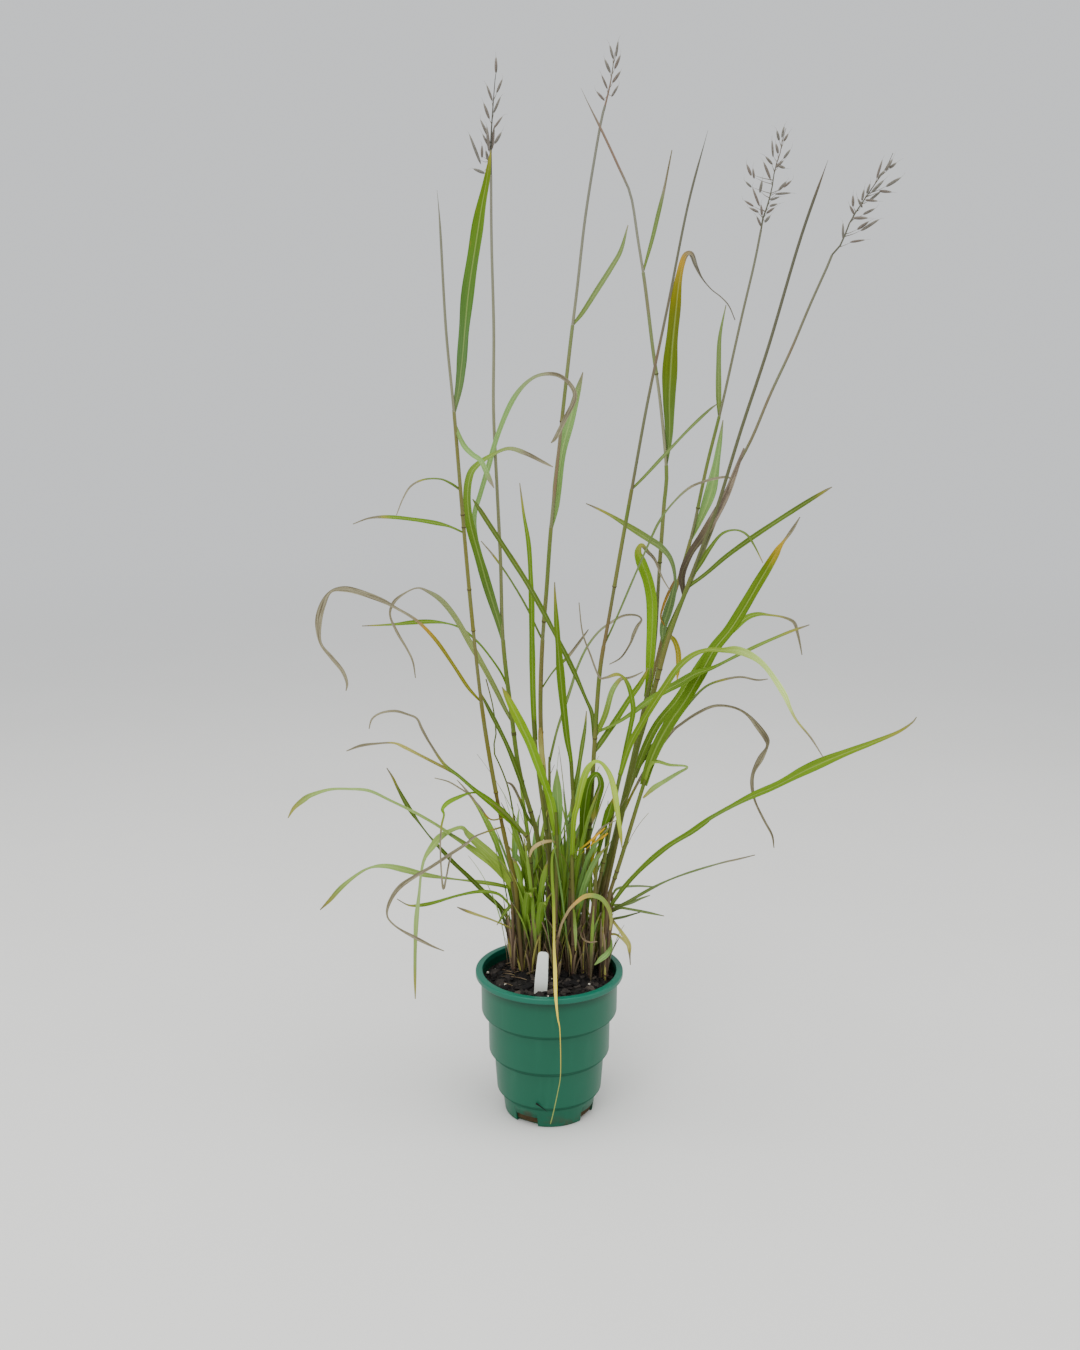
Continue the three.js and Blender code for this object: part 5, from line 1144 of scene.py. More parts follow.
shoot("young_back_left", [-0.038, 0.055], 0.055, 110, 1)
shoot("young_back_a", [-0.012, 0.063], 0.06, 95, 5)
shoot("young_back_b", [0.012, 0.065], 0.05, 90, 5)
shoot("young_back_c", [0.014, 0.048], 0.07, 80, 1)
shoot("young_back_right", [0.027, 0.062], 0.05, 70, 5)
shoot("young_mid_a", [0.018, 0.036], 0.075, 85, 2)
shoot("young_mid_b", [-0.018, 0.031], 0.07, 100, 10)
shoot("young_mid_c", [0.028, 0.022], 0.08, 270, 37)
shoot("young_left", [-0.026, 0.021], 0.06, 250, 51)
shoot("young_front", [-0.012, 0.012], 0.055, 265, 27)
tell("young shoots")

# %% [markdown]
# ## Seed heads
# The head of indian grass is a loose plume: slim spikelets on thin stalks, each with a bent bristle and
# a few hairs. A husk is a circle carried along a short line, with a radius of sin(pi * share^0.8)^0.55,
# so that it is fullest a little below its middle. It has only 12 rings and 8 sides, because there are
# dozens of them.

# %% The traced heads
HEADS = []


def head(name, culm, lean, axis, spikelets):
    """Notes a head: its axis as [column, row] points, and the columns and rows of each husk's two ends."""
    HEADS.append((name, culm, lean, axis, spikelets))


head("head_left", "culm_left", 0.006, [[491, 160], [491, 140], [492, 120], [493.5, 100], [495, 80],
    [497, 66]], [[484, 173, 474, 169], [480, 162, 470, 136], [482, 157, 482, 146], [488, 160, 486, 151],
    [488, 145, 483, 135], [489, 150, 487, 128], [492, 148, 494, 128], [495, 143, 501, 133],
    [488, 136, 481, 121], [494, 128, 502, 117], [489, 118, 484, 104], [494, 112, 500, 98],
    [492, 100, 487, 86], [497, 92, 502, 80], [496, 72, 496, 58]])

head("head_mid", "culm_mid_left", 0.006, [[608, 94], [611, 80], [613, 66], [615, 52]],
    [[604, 100, 597, 92], [612, 96, 618, 86], [607, 88, 602, 76], [613, 82, 620, 72], [610, 72, 605, 60],
    [615, 68, 620, 56], [613, 58, 610, 46], [616, 56, 618, 42]])

head("head_right", "culm_right_back", 0.01, [[763, 218], [766, 210], [769, 200], [772, 188], [775, 168],
    [779, 158], [782, 143], [786, 128]], [[751, 175, 747, 165], [754, 178, 753, 169],
    [751, 187, 746, 182], [753, 206, 745, 201], [758, 212, 750, 208], [760, 192, 762, 181],
    [759, 205, 753, 189], [762, 215, 761, 205], [761, 226, 757, 217], [770, 178, 764, 163],
    [772, 164, 766, 157], [773, 156, 772, 141], [779, 140, 777, 131], [778, 153, 776, 144],
    [782, 137, 784, 127], [784, 141, 788, 134], [784, 158, 790, 150], [776, 167, 783, 161],
    [779, 166, 785, 168], [779, 190, 786, 182], [784, 187, 791, 181], [776, 194, 790, 193],
    [771, 200, 779, 197], [770, 206, 777, 204], [767, 213, 774, 208], [765, 222, 770, 216]])

head("head_far_right", "culm_right", 0.006, [[836, 250], [842, 243], [846, 232], [850, 222], [854, 215],
    [866, 197], [877, 181], [886, 168], [893, 153]], [[853, 206, 853, 196], [854, 214, 850, 206],
    [862, 207, 858, 199], [862, 200, 864, 190], [867, 193, 870, 184], [872, 192, 883, 181],
    [870, 200, 880, 192], [866, 200, 877, 201], [880, 191, 891, 192], [887, 186, 900, 178],
    [878, 178, 884, 171], [877, 177, 882, 161], [886, 170, 892, 160], [890, 168, 896, 163],
    [864, 214, 874, 209], [854, 218, 867, 218], [858, 229, 868, 222], [862, 230, 878, 220],
    [851, 242, 864, 240], [843, 238, 843, 224]])

print("spikelets:", sum(len(spikelets) for *_, spikelets in HEADS))

# %% Build seed heads
# how far husks stand before or behind the axis, and the share of that at their feet
SPREAD, FOOT_SPREAD = 0.007, 0.6
HUSK = dict(rings=12, sides=8, radius=0.0015, tip=0.00006, longer=1.2, plump=(0.8, 1.1))
# the axis starts a gap above the culm, with a share of its girth, and ends at its tip's radius
AXIS = dict(gap=0.0003, foot=0.8, tip=0.0003)
# a stalk leaves the axis some picture rows below its husk, hangs a little, and ends inside the husk
STALK = dict(rows=6, radius=0.00055, sag=0.12, middle=0.3, into=0.1)
# a bristle starts inside the husk's tip, has a knee that stands aside, and turns from there
BRISTLE = dict(radius=0.00022, long=0.009, inside=0.8, knee=0.45, aside=0.0008, turn=0.8, rest=(0.35, 0.6))
HAIR = dict(radius=0.00013, long=0.0028, count=4, splay=0.55, root=(0.02, 0.3), uneven=(0.7, 1.4))


def add_thread(piece, line, radius, finish, mark, tint):
    """A thin thread with four sides, from `radius` down to a tenth of it."""
    share = np.linspace(0, 1, len(line))
    rings = circles(line, radius * (1 - 0.9 * share), 4)
    piece.add(rings, finish, share=share[:, None], along=distances(line)[:, None], tint=tint, mark=mark)


def add_spikelet(piece, stalk_foot, base, tip, random):
    """A stalk from the axis to `base`, a husk that reaches a little past both `base` and `tip`, a bristle
    that bends, and hairs."""
    tint = random.uniform(0, 1)
    away = tip - base
    length = np.linalg.norm(away)
    sag = np.array([0, 0, -STALK["sag"] * length]) * STALK["middle"]
    stalk = smooth([stalk_foot, (stalk_foot + base) / 2 + sag, base + away * STALK["into"]], 3)
    add_thread(piece, stalk, STALK["radius"], "head", 1, tint)
    share = np.linspace(0, 1, HUSK["rings"])
    line = base + away * (share[:, None] * HUSK["longer"] - (HUSK["longer"] - 1) / 2)
    radius = HUSK["radius"] * np.sin(pi * share**0.8) ** 0.55 + HUSK["tip"]
    rings = circles(line, radius * random.uniform(*HUSK["plump"]), HUSK["sides"])
    piece.add(rings, "head", share=share[:, None], along=share[:, None] * length, tint=tint, mark=0)
    twist = unit(random.normal(size=3) * [1, 1, 0.4])
    knee = tip + unit(away) * BRISTLE["long"] * BRISTLE["knee"] + twist * BRISTLE["aside"]
    aim = unit(away + twist * length * BRISTLE["turn"])
    end = knee + aim * BRISTLE["long"] * random.uniform(*BRISTLE["rest"])
    bristle = smooth([base + away * BRISTLE["inside"], tip, knee, end], 3)
    add_thread(piece, bristle, BRISTLE["radius"], "head", 1, tint)
    for _ in range(HAIR["count"]):
        aim = unit(unit(away) + unit(random.normal(size=3)) * HAIR["splay"])
        root = base + away * random.uniform(*HAIR["root"])
        end = root + aim * HAIR["long"] * random.uniform(*HAIR["uneven"])
        add_thread(piece, np.array([root, (root + end) / 2, end]), HAIR["radius"], "head", 1, tint)


def build_heads():
    """An axis above each culm's top, and spikelets that fan out in depth by sin(2.4 * number)."""
    for order, (name, culm, lean, axis, spikelets) in enumerate(HEADS):
        random = np.random.default_rng(SEEDS["heads"] + order)
        piece = Piece()
        top, end, girth = TOPS[culm]
        way = smooth(axis, 5)
        depth = top[1] + lean * (way[0, 1] - way[:, 1]) / (way[0, 1] - way[-1, 1])
        line = np.vstack([top + end * AXIS["gap"], seen_at(way[:, 0], way[:, 1], depth)])
        add_stem(piece, line, (girth * AXIS["foot"], AXIS["tip"]), [], random.uniform(0, 1))
        for i, (u, v, tip_u, tip_v) in enumerate(spikelets):
            out = sin(2.4 * i) * SPREAD
            height = seen_at(u, v + STALK["rows"], top[1])[2]
            nearest = line[1:][np.argmin(np.abs(line[1:, 2] - height))]
            base = seen_at(u, v, nearest[1] + out * FOOT_SPREAD)
            add_spikelet(piece, nearest, base, seen_at(tip_u, tip_v, nearest[1] + out), random)
        piece.build(f"{name}_plume", name)


build_heads()
tell("seed heads")

# %% [markdown]
# ## Pot finish
# The pot is moulded in a satin green plastic. The lip is painted brighter, as a painted highlight, and
# painted shade darkens the wall under the lip and a band at each ledge. Handling leaves faint cloudy
# scuffs, and watering leaves soil along the foot. All of it is worked out from the place on the pot, in
# metres, because the mesh is a turned shape whose own grid has no front.

# %% Pot sizes and finish
LIP = dict(top=0.168, drop=0.0065, rim=0.0823, wall=0.0016, floor=0.003)
# each terrace from the top down: its top, its foot, and its radius at both
TERRACES = [(0.1615, 0.1195, 0.0762, 0.0758), (0.1155, 0.0720, 0.0683, 0.0677),
            (0.0685, 0.0260, 0.0618, 0.0588), (0.0230, 0.0000, 0.0529, 0.0498)]
# how round each corner of the outline is
CURVES = dict(foot=0.0012, terrace=0.0030, under_lip=0.0009, lip=(0.0016, 0.0020, 0.0010), inside=0.0028)
LIP_FOOT = LIP["top"] - LIP["drop"]
POT_LEDGES = [(TERRACES[k][1] + TERRACES[k + 1][0]) / 2 for k in range(3)]
POT_SIDES = 160
# the drain openings: how many, the first one's turn, their width and height, and how far they reach in
NOTCH = dict(count=4, turn=60, wide=0.027, high=0.011, reach=0.0128)
# the middle of a splash of soil on the lowest terrace
STAIN = (-0.0235, -0.0465, 0.0125)


def pot_finish():
    """Satin green with pale scuffs, a painted highlight on the lip, painted shade under it and at the
    ledges, soiled at the foot.
    """
    f = Finish("pot_plastic", Specular_IOR_Level=0.3)
    where = f.place()
    x, y, z = (f.node("SeparateXYZ", {}, {"Vector": where}, output=k) for k in range(3))
    clouds = f.noise(where, 9.0, 4.0)
    grain = f.noise(where, 1400.0, 2.0)
    smear = f.noise(f.vector(x * 60, y * 60, z * 7), 1.0, 4.0, 0.6)
    dust = f.noise(where, 60.0, 5.0, 0.65)
    colour = f.mix(clouds, paint(0, 78, 55), paint(3, 88, 64))
    colour = f.mix(smear.between(0.5, 0.8) * 0.22, colour, paint(36, 106, 80))
    # painted highlight: the lip is painted a brighter green than the wall below it
    colour = f.mix(z.between(LIP_FOOT - 0.001, LIP_FOOT + 0.001) * 0.8, colour, paint(3, 96, 76))
    # painted shade: the wall is darkened just under the lip
    shadow = (z - LIP_FOOT).between(-0.014, -0.001) * (1 - (z - LIP_FOOT).between(0.0, 0.0015))
    # painted shade: a darker band at each ledge, where the terrace above overhangs; the same band is also
    # rougher
    ledge_shade = 0
    for height in POT_LEDGES:
        ledge_shade = 1 - abs(z - height).between(0.002, 0.0045) + ledge_shade
    # both painted shades, under the lip and at the ledges, take the dark green
    colour = f.mix(shadow * 0.6 + ledge_shade * 0.36, colour, paint(0, 46, 32))
    soiled = (1 - z.between(0.003, 0.02)) * dust.between(0.5, 0.66) * 0.5
    apart = f.node("VectorMath", {"operation": "DISTANCE"}, {0: where, 1: STAIN})
    soiled = soiled + (1 - (apart + dust * 0.008).between(0.006, 0.012)) * 0.6
    colour = f.mix(soiled, colour, paint(66, 50, 34))
    rough = 0.34 + clouds * 0.12 + soiled * 0.25 + ledge_shade * 0.5
    f.wear(Base_Color=colour, Roughness=rough, Normal=f.relief(grain + smear * 0.6, 0.12, 0.0003))


print("heights of the pot's ledges, m:", [round(height, 4) for height in POT_LEDGES])

# %% [markdown]
# ## Pot
# The pot is a turned shape: one outline spun round the upright axis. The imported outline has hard
# corners. Moulded plastic hasn't, so each corner is replaced by a short curve, tight at the lip and
# soft at the terraces. The drain openings are boxes taken away with a Boolean modifier, which is then
# applied, because cutting them into the spun grid would tear its even rings.

# %% Outline of the pot
def rounded(outline, radii, steps=6):
    """Each corner P becomes the curve (1-t)^2*A + 2t(1-t)*P + t^2*B, from A to B a radius away from it."""
    outline = np.asarray(outline, float)
    before, corner, after = outline[:-2], outline[1:-1], outline[2:]
    reach_in = np.minimum(radii, 0.48 * np.linalg.norm(before - corner, axis=1))[:, None]
    reach_out = np.minimum(radii, 0.48 * np.linalg.norm(after - corner, axis=1))[:, None]
    start = (corner + unit(before - corner) * reach_in)[:, None]
    end = (corner + unit(after - corner) * reach_out)[:, None]
    t = np.linspace(0, 1, steps)[None, :, None]
    curve = (1 - t) ** 2 * start + 2 * t * (1 - t) * corner[:, None] + t**2 * end
    return np.vstack([outline[:1], curve.reshape(-1, 2), outline[-1:]])


def turned(outline, sides):
    """Rings of an outline of [radius, height] round the upright axis, at evenly spaced turns."""
    angle = 2 * pi * np.arange(sides) / sides
    x = outline[:, :1] * np.cos(angle)
    y = outline[:, :1] * np.sin(angle)
    return np.stack([x, y, np.broadcast_to(outline[:, 1:], x.shape)], -1)


def pot_sides():
    """The pot's outside from its foot up and its inside from the top down, as [radius, height]."""
    outside = []
    for top, low, wide, slim in TERRACES[::-1]:
        outside += [(slim, low), (wide, top)]
    inside = [(radius - LIP["wall"], max(height, LIP["floor"])) for radius, height in outside[-2::-1]]
    return outside, inside


def pot_outline():
    """From the middle of the foot up the outside, over the lip, down the inside and to the middle, and
    how far each corner is rounded."""
    outside, inside = pot_sides()
    inner = TERRACES[0][2] - LIP["wall"]
    lip = [(LIP["rim"], LIP_FOOT), (LIP["rim"], LIP["top"]), (inner, LIP["top"])]
    radii = [CURVES["foot"], *[CURVES["terrace"]] * (len(outside) - 2), CURVES["under_lip"],
             *CURVES["lip"], *[CURVES["inside"]] * len(inside)]
    return [(0, 0), *outside, *lip, *inside, (0, LIP["floor"])], np.array(radii)


print("corners of the pot's outline:", len(pot_outline()[1]))

# %% Pot surface
def drain_cutter():
    """One box across the foot's edge for each drain opening."""
    mesh = bpy.data.meshes.new("drain_cutter")
    boxes = bmesh.new()
    for i in range(NOTCH["count"]):
        corner = bmesh.ops.create_cube(boxes, size=1)["verts"]
        bmesh.ops.scale(boxes, vec=(NOTCH["reach"], NOTCH["wide"], 2 * NOTCH["high"]), verts=corner)
        bmesh.ops.translate(boxes, vec=(TERRACES[-1][3], 0, 0), verts=corner)
        turn = radians(NOTCH["turn"] + 360 * i / NOTCH["count"] - 90)
        bmesh.ops.rotate(boxes, cent=(0, 0, 0), matrix=Matrix.Rotation(turn, 3, "Z"), verts=corner)
    boxes.to_mesh(mesh)
    boxes.free()
    return put("drain_cutter", mesh)


def build_pot():
    """The turned shell, less the boxes."""
    pot_finish()
    piece = Piece()
    piece.add(turned(rounded(*pot_outline()), POT_SIDES), "pot_plastic")
    pot = piece.build("pot_shell", "pot", crisp=40)
    cutter = drain_cutter()
    cut = pot.modifiers.new("drain openings", "BOOLEAN")
    cut.operation, cut.object = "DIFFERENCE", cutter
    view = bpy.context.evaluated_depsgraph_get()
    done = bpy.data.meshes.new_from_object(pot.evaluated_get(view))
    pot.modifiers.clear()
    pot.data = done
    done.name = "pot_shell"
    bpy.data.objects.remove(cutter)
    print("pot faces with its openings:", len(done.polygons))


build_pot()
tell("pot, before its openings")

# %% [markdown]
# ## Soil
# The pot is filled with composted bark: a dark, lumpy bed with flat chips of bark lying every way, a few
# white grains of perlite, and dry strands that have dropped from the plant. The bed is one turned grid
# with its height worked out by a sum of waves, the same sum as the packed soil with finer waves on top.

# %% Soil finishes
def soil_finish():
    """Near black clods with grey-brown crumbs; paler and browner where the drain openings show it."""
    f = Finish("soil", Specular_IOR_Level=0.2)
    where = f.place()
    coarse = f.noise(where, 150.0, 5.0, 0.6)
    fine = f.noise(where, 900.0, 3.0, 0.6)
    colour = f.mix(coarse.between(0.35, 0.65), paint(8, 8, 7), paint(38, 35, 32))
    colour = f.mix(fine.between(0.58, 0.75) * 0.4, colour, paint(72, 66, 58))
    lowest = f.mix(coarse, paint(30, 24, 15), paint(84, 68, 42))
    colour = f.mix(1 - f.height().between(0.012, 0.02), colour, lowest)
    clods = f.relief(coarse + fine * 0.5, 0.8, 0.0012)
    f.wear(Base_Color=colour, Roughness=0.86 + fine * 0.12, Normal=clods)


def bark_finish():
    """Each chip's own tint picks between near black, dark and grey-brown; grain runs along it."""
    f = Finish("bark", Specular_IOR_Level=0.25)
    tint, across = f.mark("tint"), f.mark("across")
    grain = f.noise(f.vector(across * 7 + tint * 50, f.mark("along") * 160, tint * 30), 1.0, 4.0, 0.65)
    stops = [(0.0, paint(10, 9, 9)), (0.4, paint(24, 21, 20)), (0.7, paint(44, 38, 35)),
             (0.9, paint(60, 54, 49)), (1.0, paint(84, 75, 66))]
    colour = f.mix(grain.between(0.4, 0.7) * 0.55, f.ramp(tint, stops), paint(8, 7, 6))
    f.wear(Base_Color=colour, Roughness=0.8 + grain * 0.15, Normal=f.relief(grain, 0.7, 0.0006))


def perlite_finish():
    """White grains with grey pores."""
    f = Finish("perlite", Specular_IOR_Level=0.3)
    grain = f.noise(f.place(), 1600.0, 4.0)
    colour = f.mix(grain.between(0.3, 0.7), paint(232, 228, 214), paint(150, 142, 124))
    f.wear(Base_Color=colour, Roughness=0.9 - grain * 0.1, Normal=f.relief(grain, 0.7, 0.0004))


soil_finish()
bark_finish()
perlite_finish()
print("finishes so far:", len(FINISHES))

# %% Soil bed
# the heights of the crown and of the waves, how fast both fade in from the pot's wall, and the gap to it
CROWN, CLOD, BAND = 0.004, 0.0017, 6
SLACK = 0.0003
SOIL_EDGE = TERRACES[0][2] - LIP["wall"] - SLACK
BED_RINGS, BED_SIDES = 60, 200


def soil_height(x, y):
    """Soil height in metres: a low crown, coarse and fine waves as in the packed soil, and finer ones."""
    middle = 1 - np.hypot(x, y) / SOIL_EDGE
    inside = np.clip(middle * BAND, 0, 1)
    a, b = 1000 * x, 1000 * y
    coarse = np.sin(a / 7.1 + 1.3) * np.cos(b / 6.3 - 0.4) + np.sin((a + b) / 4.7)
    fine = np.sin(a / 2.9 + b / 3.7) * np.cos(b / 2.3 - a / 5.1)
    grit = np.sin(a * 1.9 + 2 * np.sin(b)) * np.cos(b * 1.7 - np.sin(a * 0.8)) * 0.35
    waves = CLOD * (0.5 * coarse + 0.45 * fine + grit)
    return SOIL_TOP + inside * (CROWN * middle * (2 - middle) + waves) - CROWN


print("soil height in the middle, m:", round(float(soil_height(0.0, 0.0)), 4))

# %% Bark and grains
CHIP = dict(rows=6, around=8, boxy=0.55, uneven=0.22, tilt=0.38)
# chips of bark from large to small: how many, their least and greatest size each way, and the share of
# their height that is sunk; then small white crumbs
BARK = [(60, ([0.0080, 0.0060, 0.0035], [0.0150, 0.0100, 0.0060]), 0.36),
        (300, ([0.0035, 0.0022, 0.0010], [0.0110, 0.0060, 0.0028]), 0.25),
        (420, ([0.0012, 0.0010, 0.0006], [0.0034, 0.0026, 0.0018]), 0.25)]
CRUMBS = (12, ([0.0012, 0.0012, 0.0010], [0.0022, 0.0022, 0.0018]), 0.1)
# the white grains that stand out: their places and sizes, and a share that sets them on top of the bark
GRAINS = [(-0.0690, 0.0120), (-0.0482, -0.0258), (0.0440, -0.0215)]
GRAIN_SIZES, ON_TOP = ([0.0028, 0.0026, 0.0024], [0.0034, 0.0032, 0.0030]), -0.5


def pressed(wave, power):
    """A sine or cosine with its size raised to a power under 1, which makes a round form boxy."""
    return np.sign(wave) * np.abs(wave) ** power


def add_chips(piece, count, sizes, sunk, finish, random, spots=None):
    """Chips are boxy blobs: a sphere's cosines and sines pressed and scaled, turned by a compass angle and
    a tilt, and set into the soil by the share `sunk`, on given spots or at random. All of them are one
    array of count x rows x around x 3."""
    rise = np.linspace(-pi / 2, pi / 2, CHIP["rows"])[:, None]
    turn = np.linspace(0, 2 * pi, CHIP["around"], endpoint=False)[None]
    round_x, round_y, round_z, rim = (pressed(wave, CHIP["boxy"]) for wave in
                                      (np.cos(turn), np.sin(turn), np.sin(rise), np.cos(rise)))
    ball = np.stack([rim * round_x, rim * round_y, round_z * np.ones_like(turn)], -1)
    size = random.uniform(*sizes, size=(count, 3))
    bump = random.uniform(-CHIP["uneven"], CHIP["uneven"], size=(count, CHIP["rows"], CHIP["around"], 1))
    off_poles = (np.abs(rise) < 1.5)[..., None]
    blobs = ball[None] * (1 + bump * off_poles) * size[:, None, None] / 2
    tilt, yaw = random.normal(0, CHIP["tilt"], count), random.uniform(0, 2 * pi, count)
    x, y, z = blobs[..., 0], blobs[..., 1], blobs[..., 2]
    s, c = (wave(tilt)[:, None, None] for wave in (np.sin, np.cos))
    x, z = x * c + z * s, z * c - x * s
    s, c = (wave(yaw)[:, None, None] for wave in (np.sin, np.cos))
    x, y = x * c - y * s, x * s + y * c
    radius = (SOIL_EDGE - size[:, 0] / 2 - 0.001) * np.sqrt(random.uniform(0, 1, count))
    angle = random.uniform(0, 2 * pi, count)
    px, py = (radius * np.cos(angle), radius * np.sin(angle)) if spots is None else np.array(spots).T
    pz = soil_height(px, py) + size[:, 2] * (0.5 - sunk)
    placed = np.stack([x + px[:, None, None], y + py[:, None, None], z + pz[:, None, None]], -1)
    for chip, tint in zip(placed, random.uniform(0, 1, count)):
        piece.add(chip, finish, tint=tint, across=np.sin(turn[0]), along=np.sin(rise) * 0.01)


print("chips of bark:", sum(count for count, _, _ in BARK))

# %% Dry strands
# dry strands: where they start, which way they point, how far they stand proud, and their forms
STRANDS = dict(count=16, arc=(0.66, 1.1), heading=(-40, 40), middle=0.2, bed=0.064, ahead=0.02, inside=0.07,
               proud=0.0014, rise=(4, 14), bend=(8, 24), length=(0.014, 0.038), width=(0.0009, 0.0016))
# a thread on the pot's side, as [column, row, depth]
FALLEN = [[536, 1103.5, -0.0592], [539, 1105.5, -0.0596], [543, 1108.5, -0.059], [547.5, 1112, -0.0574]]
FALLEN_RADIUS = 0.0010


def add_strands(piece, random):
    """Dry strands that lie on the soil's left part, each turned round if it would reach the pot."""
    for _ in range(STRANDS["count"]):
        angle, heading = random.uniform(*STRANDS["arc"]) * pi, random.uniform(*STRANDS["heading"])
        radius = STRANDS["bed"] * np.sqrt(random.uniform(STRANDS["middle"], 1))
        start = np.array([radius * cos(angle), radius * sin(angle), 0])
        ahead = start + STRANDS["ahead"] * outwards(heading)
        if np.hypot(ahead[0], ahead[1]) > STRANDS["inside"]:
            heading += 180
        start[2] = soil_height(start[0], start[1]) + STRANDS["proud"]
        rise, bend, length, width = (random.uniform(*STRANDS[name]) for name in
                                     ("rise", "bend", "length", "width"))
        free_blade(piece, "sheath", start, heading, rise, bend, length, width, random)


print("strands on the soil:", STRANDS["count"])

# %% Build the soil
def build_soil():
    """The bed follows the pot's inside below, and soil_height above; then chips, grains and strands."""
    random = np.random.default_rng(SEEDS["soil"])
    piece = Piece()
    low = LIP["floor"] + SLACK
    _, inside = pot_sides()
    wall = [(radius - SLACK, max(height, low)) for radius, height in inside[::-1] if height < SOIL_TOP]
    face = [(radius, 1) for radius in SOIL_EDGE * np.linspace(1, 0, BED_RINGS)]
    rings = turned(np.array([(0, low), *wall, *face]), BED_SIDES)
    top = rings[..., 2] == 1
    rings[..., 2] = np.where(top, soil_height(rings[..., 0], rings[..., 1]), rings[..., 2])
    piece.add(rings, "soil")
    for chips in BARK:
        add_chips(piece, *chips, "bark", random)
    add_chips(piece, *CRUMBS, "perlite", random)
    add_chips(piece, len(GRAINS), GRAIN_SIZES, ON_TOP, "perlite", random, GRAINS)
    add_strands(piece, random)
    column, row, depth = np.array(FALLEN).T
    add_thread(piece, smooth(seen_at(column, row, depth), 4), FALLEN_RADIUS, "bark", mark=0, tint=0.1)
    piece.build("soil_bed", "soil", crisp=38)


build_soil()
tell("soil with its bark")

# %% [markdown]
# ## Label
# The tag is cut from plain white sheet plastic and pushed in until it holds. It is a rounded strip
# carried up a line: the half width is a function of the height, from the point in the soil to the
# rounded shoulders, and a slight bow keeps it from looking like a machined plate.

# %% Label
# the tag's sizes, then where it stands and how it leans
TAG = dict(wide=0.0142, thick=0.001, high=0.045, deep=0.016, crown=0.004, corner=0.0036, bow=0.0006,
           column=540.5, depth=-0.042, lean=-8, turn=4)
# the share of its full width that the tag has at each height
TAG_HEIGHTS, TAG_SHARES = [-0.016, -0.0014, 0.014, 0.045], [0.3, 1, 1, 0.78]
TAG_RINGS, CROWN_RINGS, TAG_SIDES = 24, 9, 20


def label_finish():
    """White plastic with faint smudges, with painted shade just above the soil."""
    f = Finish("label_plastic", Specular_IOR_Level=0.45)
    smudge = f.noise(f.place(), 160.0, 5.0, 0.6)
    colour = f.mix(smudge.between(0.4, 0.8) * 0.35, paint(226, 230, 222), paint(196, 202, 192))
    # painted shade: the tag is darkened just above the soil
    low = 1 - (f.height() + smudge * 0.012).between(SOIL_TOP + 0.004, SOIL_TOP + 0.02)
    colour = f.mix(low * 0.55, colour, paint(120, 116, 100))
    f.wear(Base_Color=colour, Roughness=0.38 + smudge * 0.2, Normal=f.relief(smudge, 0.15, 0.0003))


def build_label():
    """Rings of points: x = half width * cos and y = half thickness * sin, both pressed to a rounded strip,
    plus the bow. The crown's rings crowd towards the top, where a quarter circle narrows them."""
    label_finish()
    neck = TAG["high"] - TAG["crown"]
    rounding = 1 - np.sin(np.linspace(0.15, pi / 2, CROWN_RINGS))
    height = np.concatenate([np.linspace(-TAG["deep"], neck, TAG_RINGS),
                             TAG["high"] - TAG["crown"] * rounding])
    crest = np.clip((height - TAG["high"] + TAG["crown"]) / TAG["crown"], 0, 1)
    half = TAG["wide"] / 2 * np.interp(height, TAG_HEIGHTS, TAG_SHARES)
    half = half - TAG["corner"] * (1 - np.sqrt(1 - 0.999 * crest**2))
    turn = 2 * pi * (np.arange(TAG_SIDES) + 0.5) / TAG_SIDES
    bow = TAG["bow"] * (1 - (2 * (height + TAG["deep"]) / (TAG["high"] + TAG["deep"]) - 1) ** 2)
    x = half[:, None] * pressed(np.cos(turn), 0.4)
    y = TAG["thick"] / 2 * pressed(np.sin(turn), 0.5) + bow[:, None]
    rings = np.stack([x, y, np.broadcast_to(height[:, None], x.shape)], -1)
    tipped = Matrix.Rotation(radians(TAG["lean"]), 3, "X") @ Matrix.Rotation(radians(TAG["turn"]), 3, "Y")
    piece = Piece()
    piece.add(rings @ np.array(tipped).T + foot_at(TAG["column"], TAG["depth"]), "label_plastic")
    piece.build("label_tag", "label")


build_label()
tell("label")

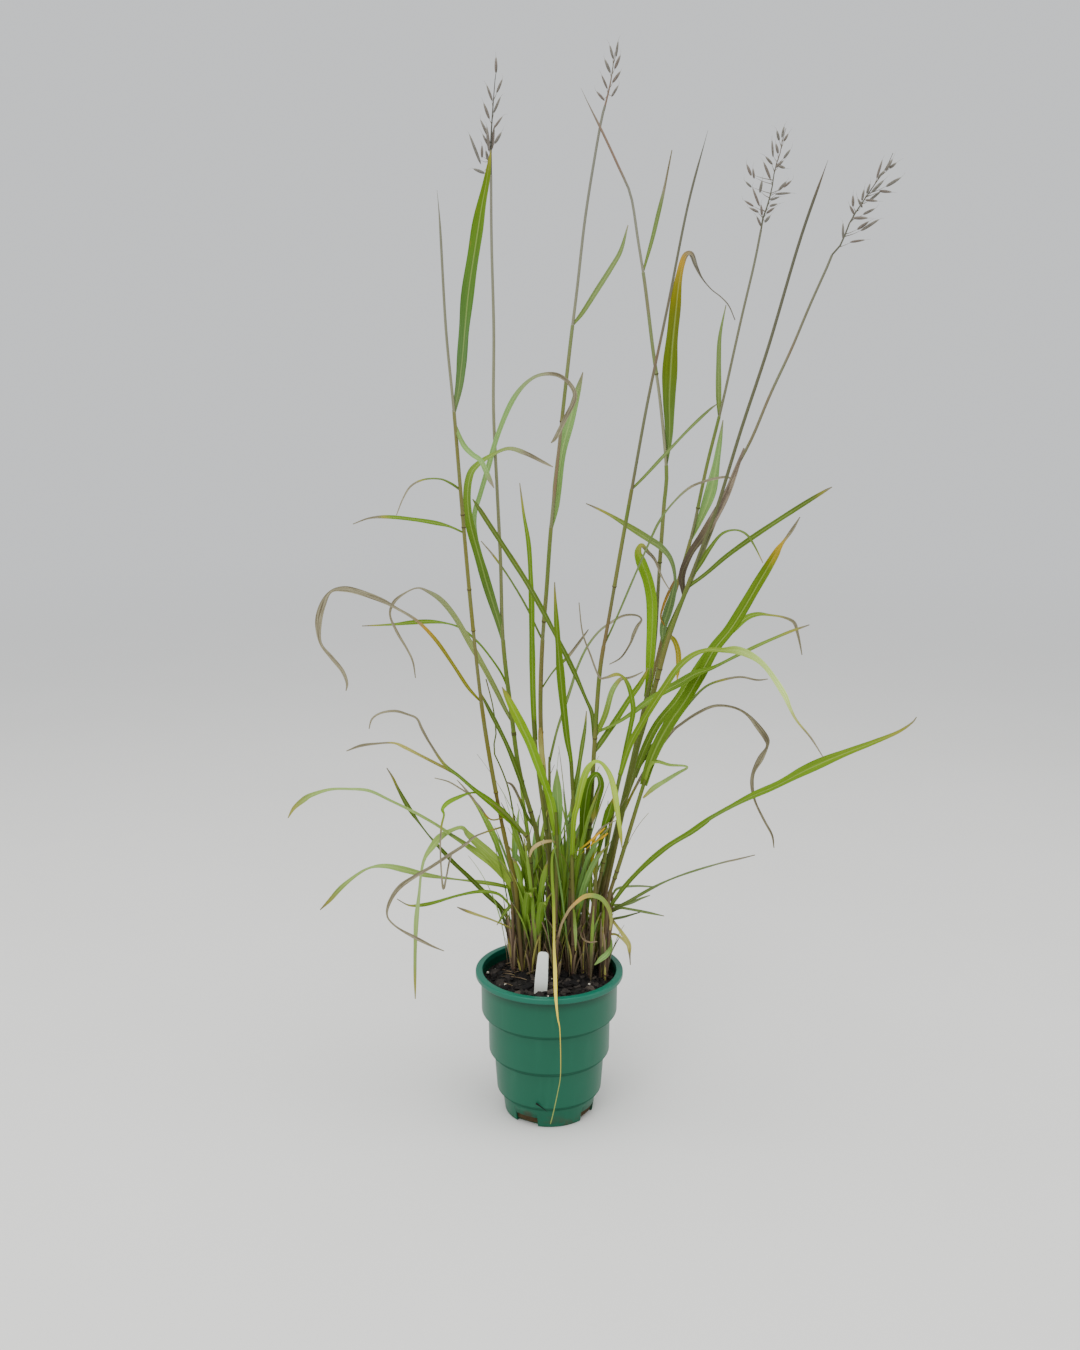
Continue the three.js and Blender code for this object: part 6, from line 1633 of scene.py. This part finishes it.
# %% [markdown]
# ## Floor and light
# The plant was pictured in soft light from above. A wide panel overhead and one high in front model the
# leaves, and two at the sides draw pale upright reflections on the pot. The floor is a large pale sheet.
# Far out its colour gives way to the glow of the sky, so that no horizon line cuts through the plant.

# %% Floor and light
SKY = (0.90, 0.92, 0.94, 1)
GLOW = 0.92
REACH, BELOW = 30, 0.0004


def build_stage():
    """A square floor just under the pot's foot. From the middle out it turns from pale paint to a glow."""
    mesh = bpy.data.meshes.new("floor")
    corners = [(-REACH, -REACH, 0), (REACH, -REACH, 0), (REACH, REACH, 0), (-REACH, REACH, 0)]
    mesh.from_pydata(corners, [], [(0, 1, 2, 3)])
    floor = put("floor", mesh)
    floor.location.z = -BELOW
    f = Finish("floor", Specular_IOR_Level=0.0, Emission_Strength=GLOW)
    away = f.node("VectorMath", {"operation": "LENGTH"}, {0: f.place()})
    far = away.between(0.9, 4.5)
    sheet = f.noise(f.place(), 3.0, 3.0)
    colour = f.mix(sheet, paint(226, 225, 222), paint(220, 219, 215))
    f.wear(Base_Color=f.mix(far, colour, paint(0, 0, 0)), Roughness=0.7 + sheet * 0.2,
           Emission_Color=f.mix(far, paint(0, 0, 0), SKY))
    mesh.materials.append(FINISHES["floor"])


def panel(name, place, aim, size, power):
    """A square area light at `place` that looks at `aim`: its side in metres, its power in watts."""
    light = bpy.data.lights.new(name, "AREA")
    light.shape, light.size, light.energy = "SQUARE", size, power
    made = put(name, light)
    made.location = place
    made.rotation_euler = (Vector(aim) - Vector(place)).to_track_quat("-Z", "Y").to_euler()


build_stage()
panel("top", (0.0, -0.5, 2.9), (0, 0, 0.5), 2.2, 66)
panel("key", (-1.0, -2.6, 2.0), (0, 0, 0.4), 1.8, 40)
panel("left", (-2.4, -0.2, 1.0), (0, 0, 0.4), 1.6, 14)
panel("right", (2.4, -0.4, 1.2), (0, 0, 0.4), 1.6, 18)
sky = bpy.data.worlds.new("sky")
sky.use_nodes = True
sky.node_tree.nodes["Background"].inputs["Color"].default_value = SKY
sky.node_tree.nodes["Background"].inputs["Strength"].default_value = GLOW
bpy.context.scene.world = sky
print("lights:", len(bpy.data.lights), "besides the glow of the sky")
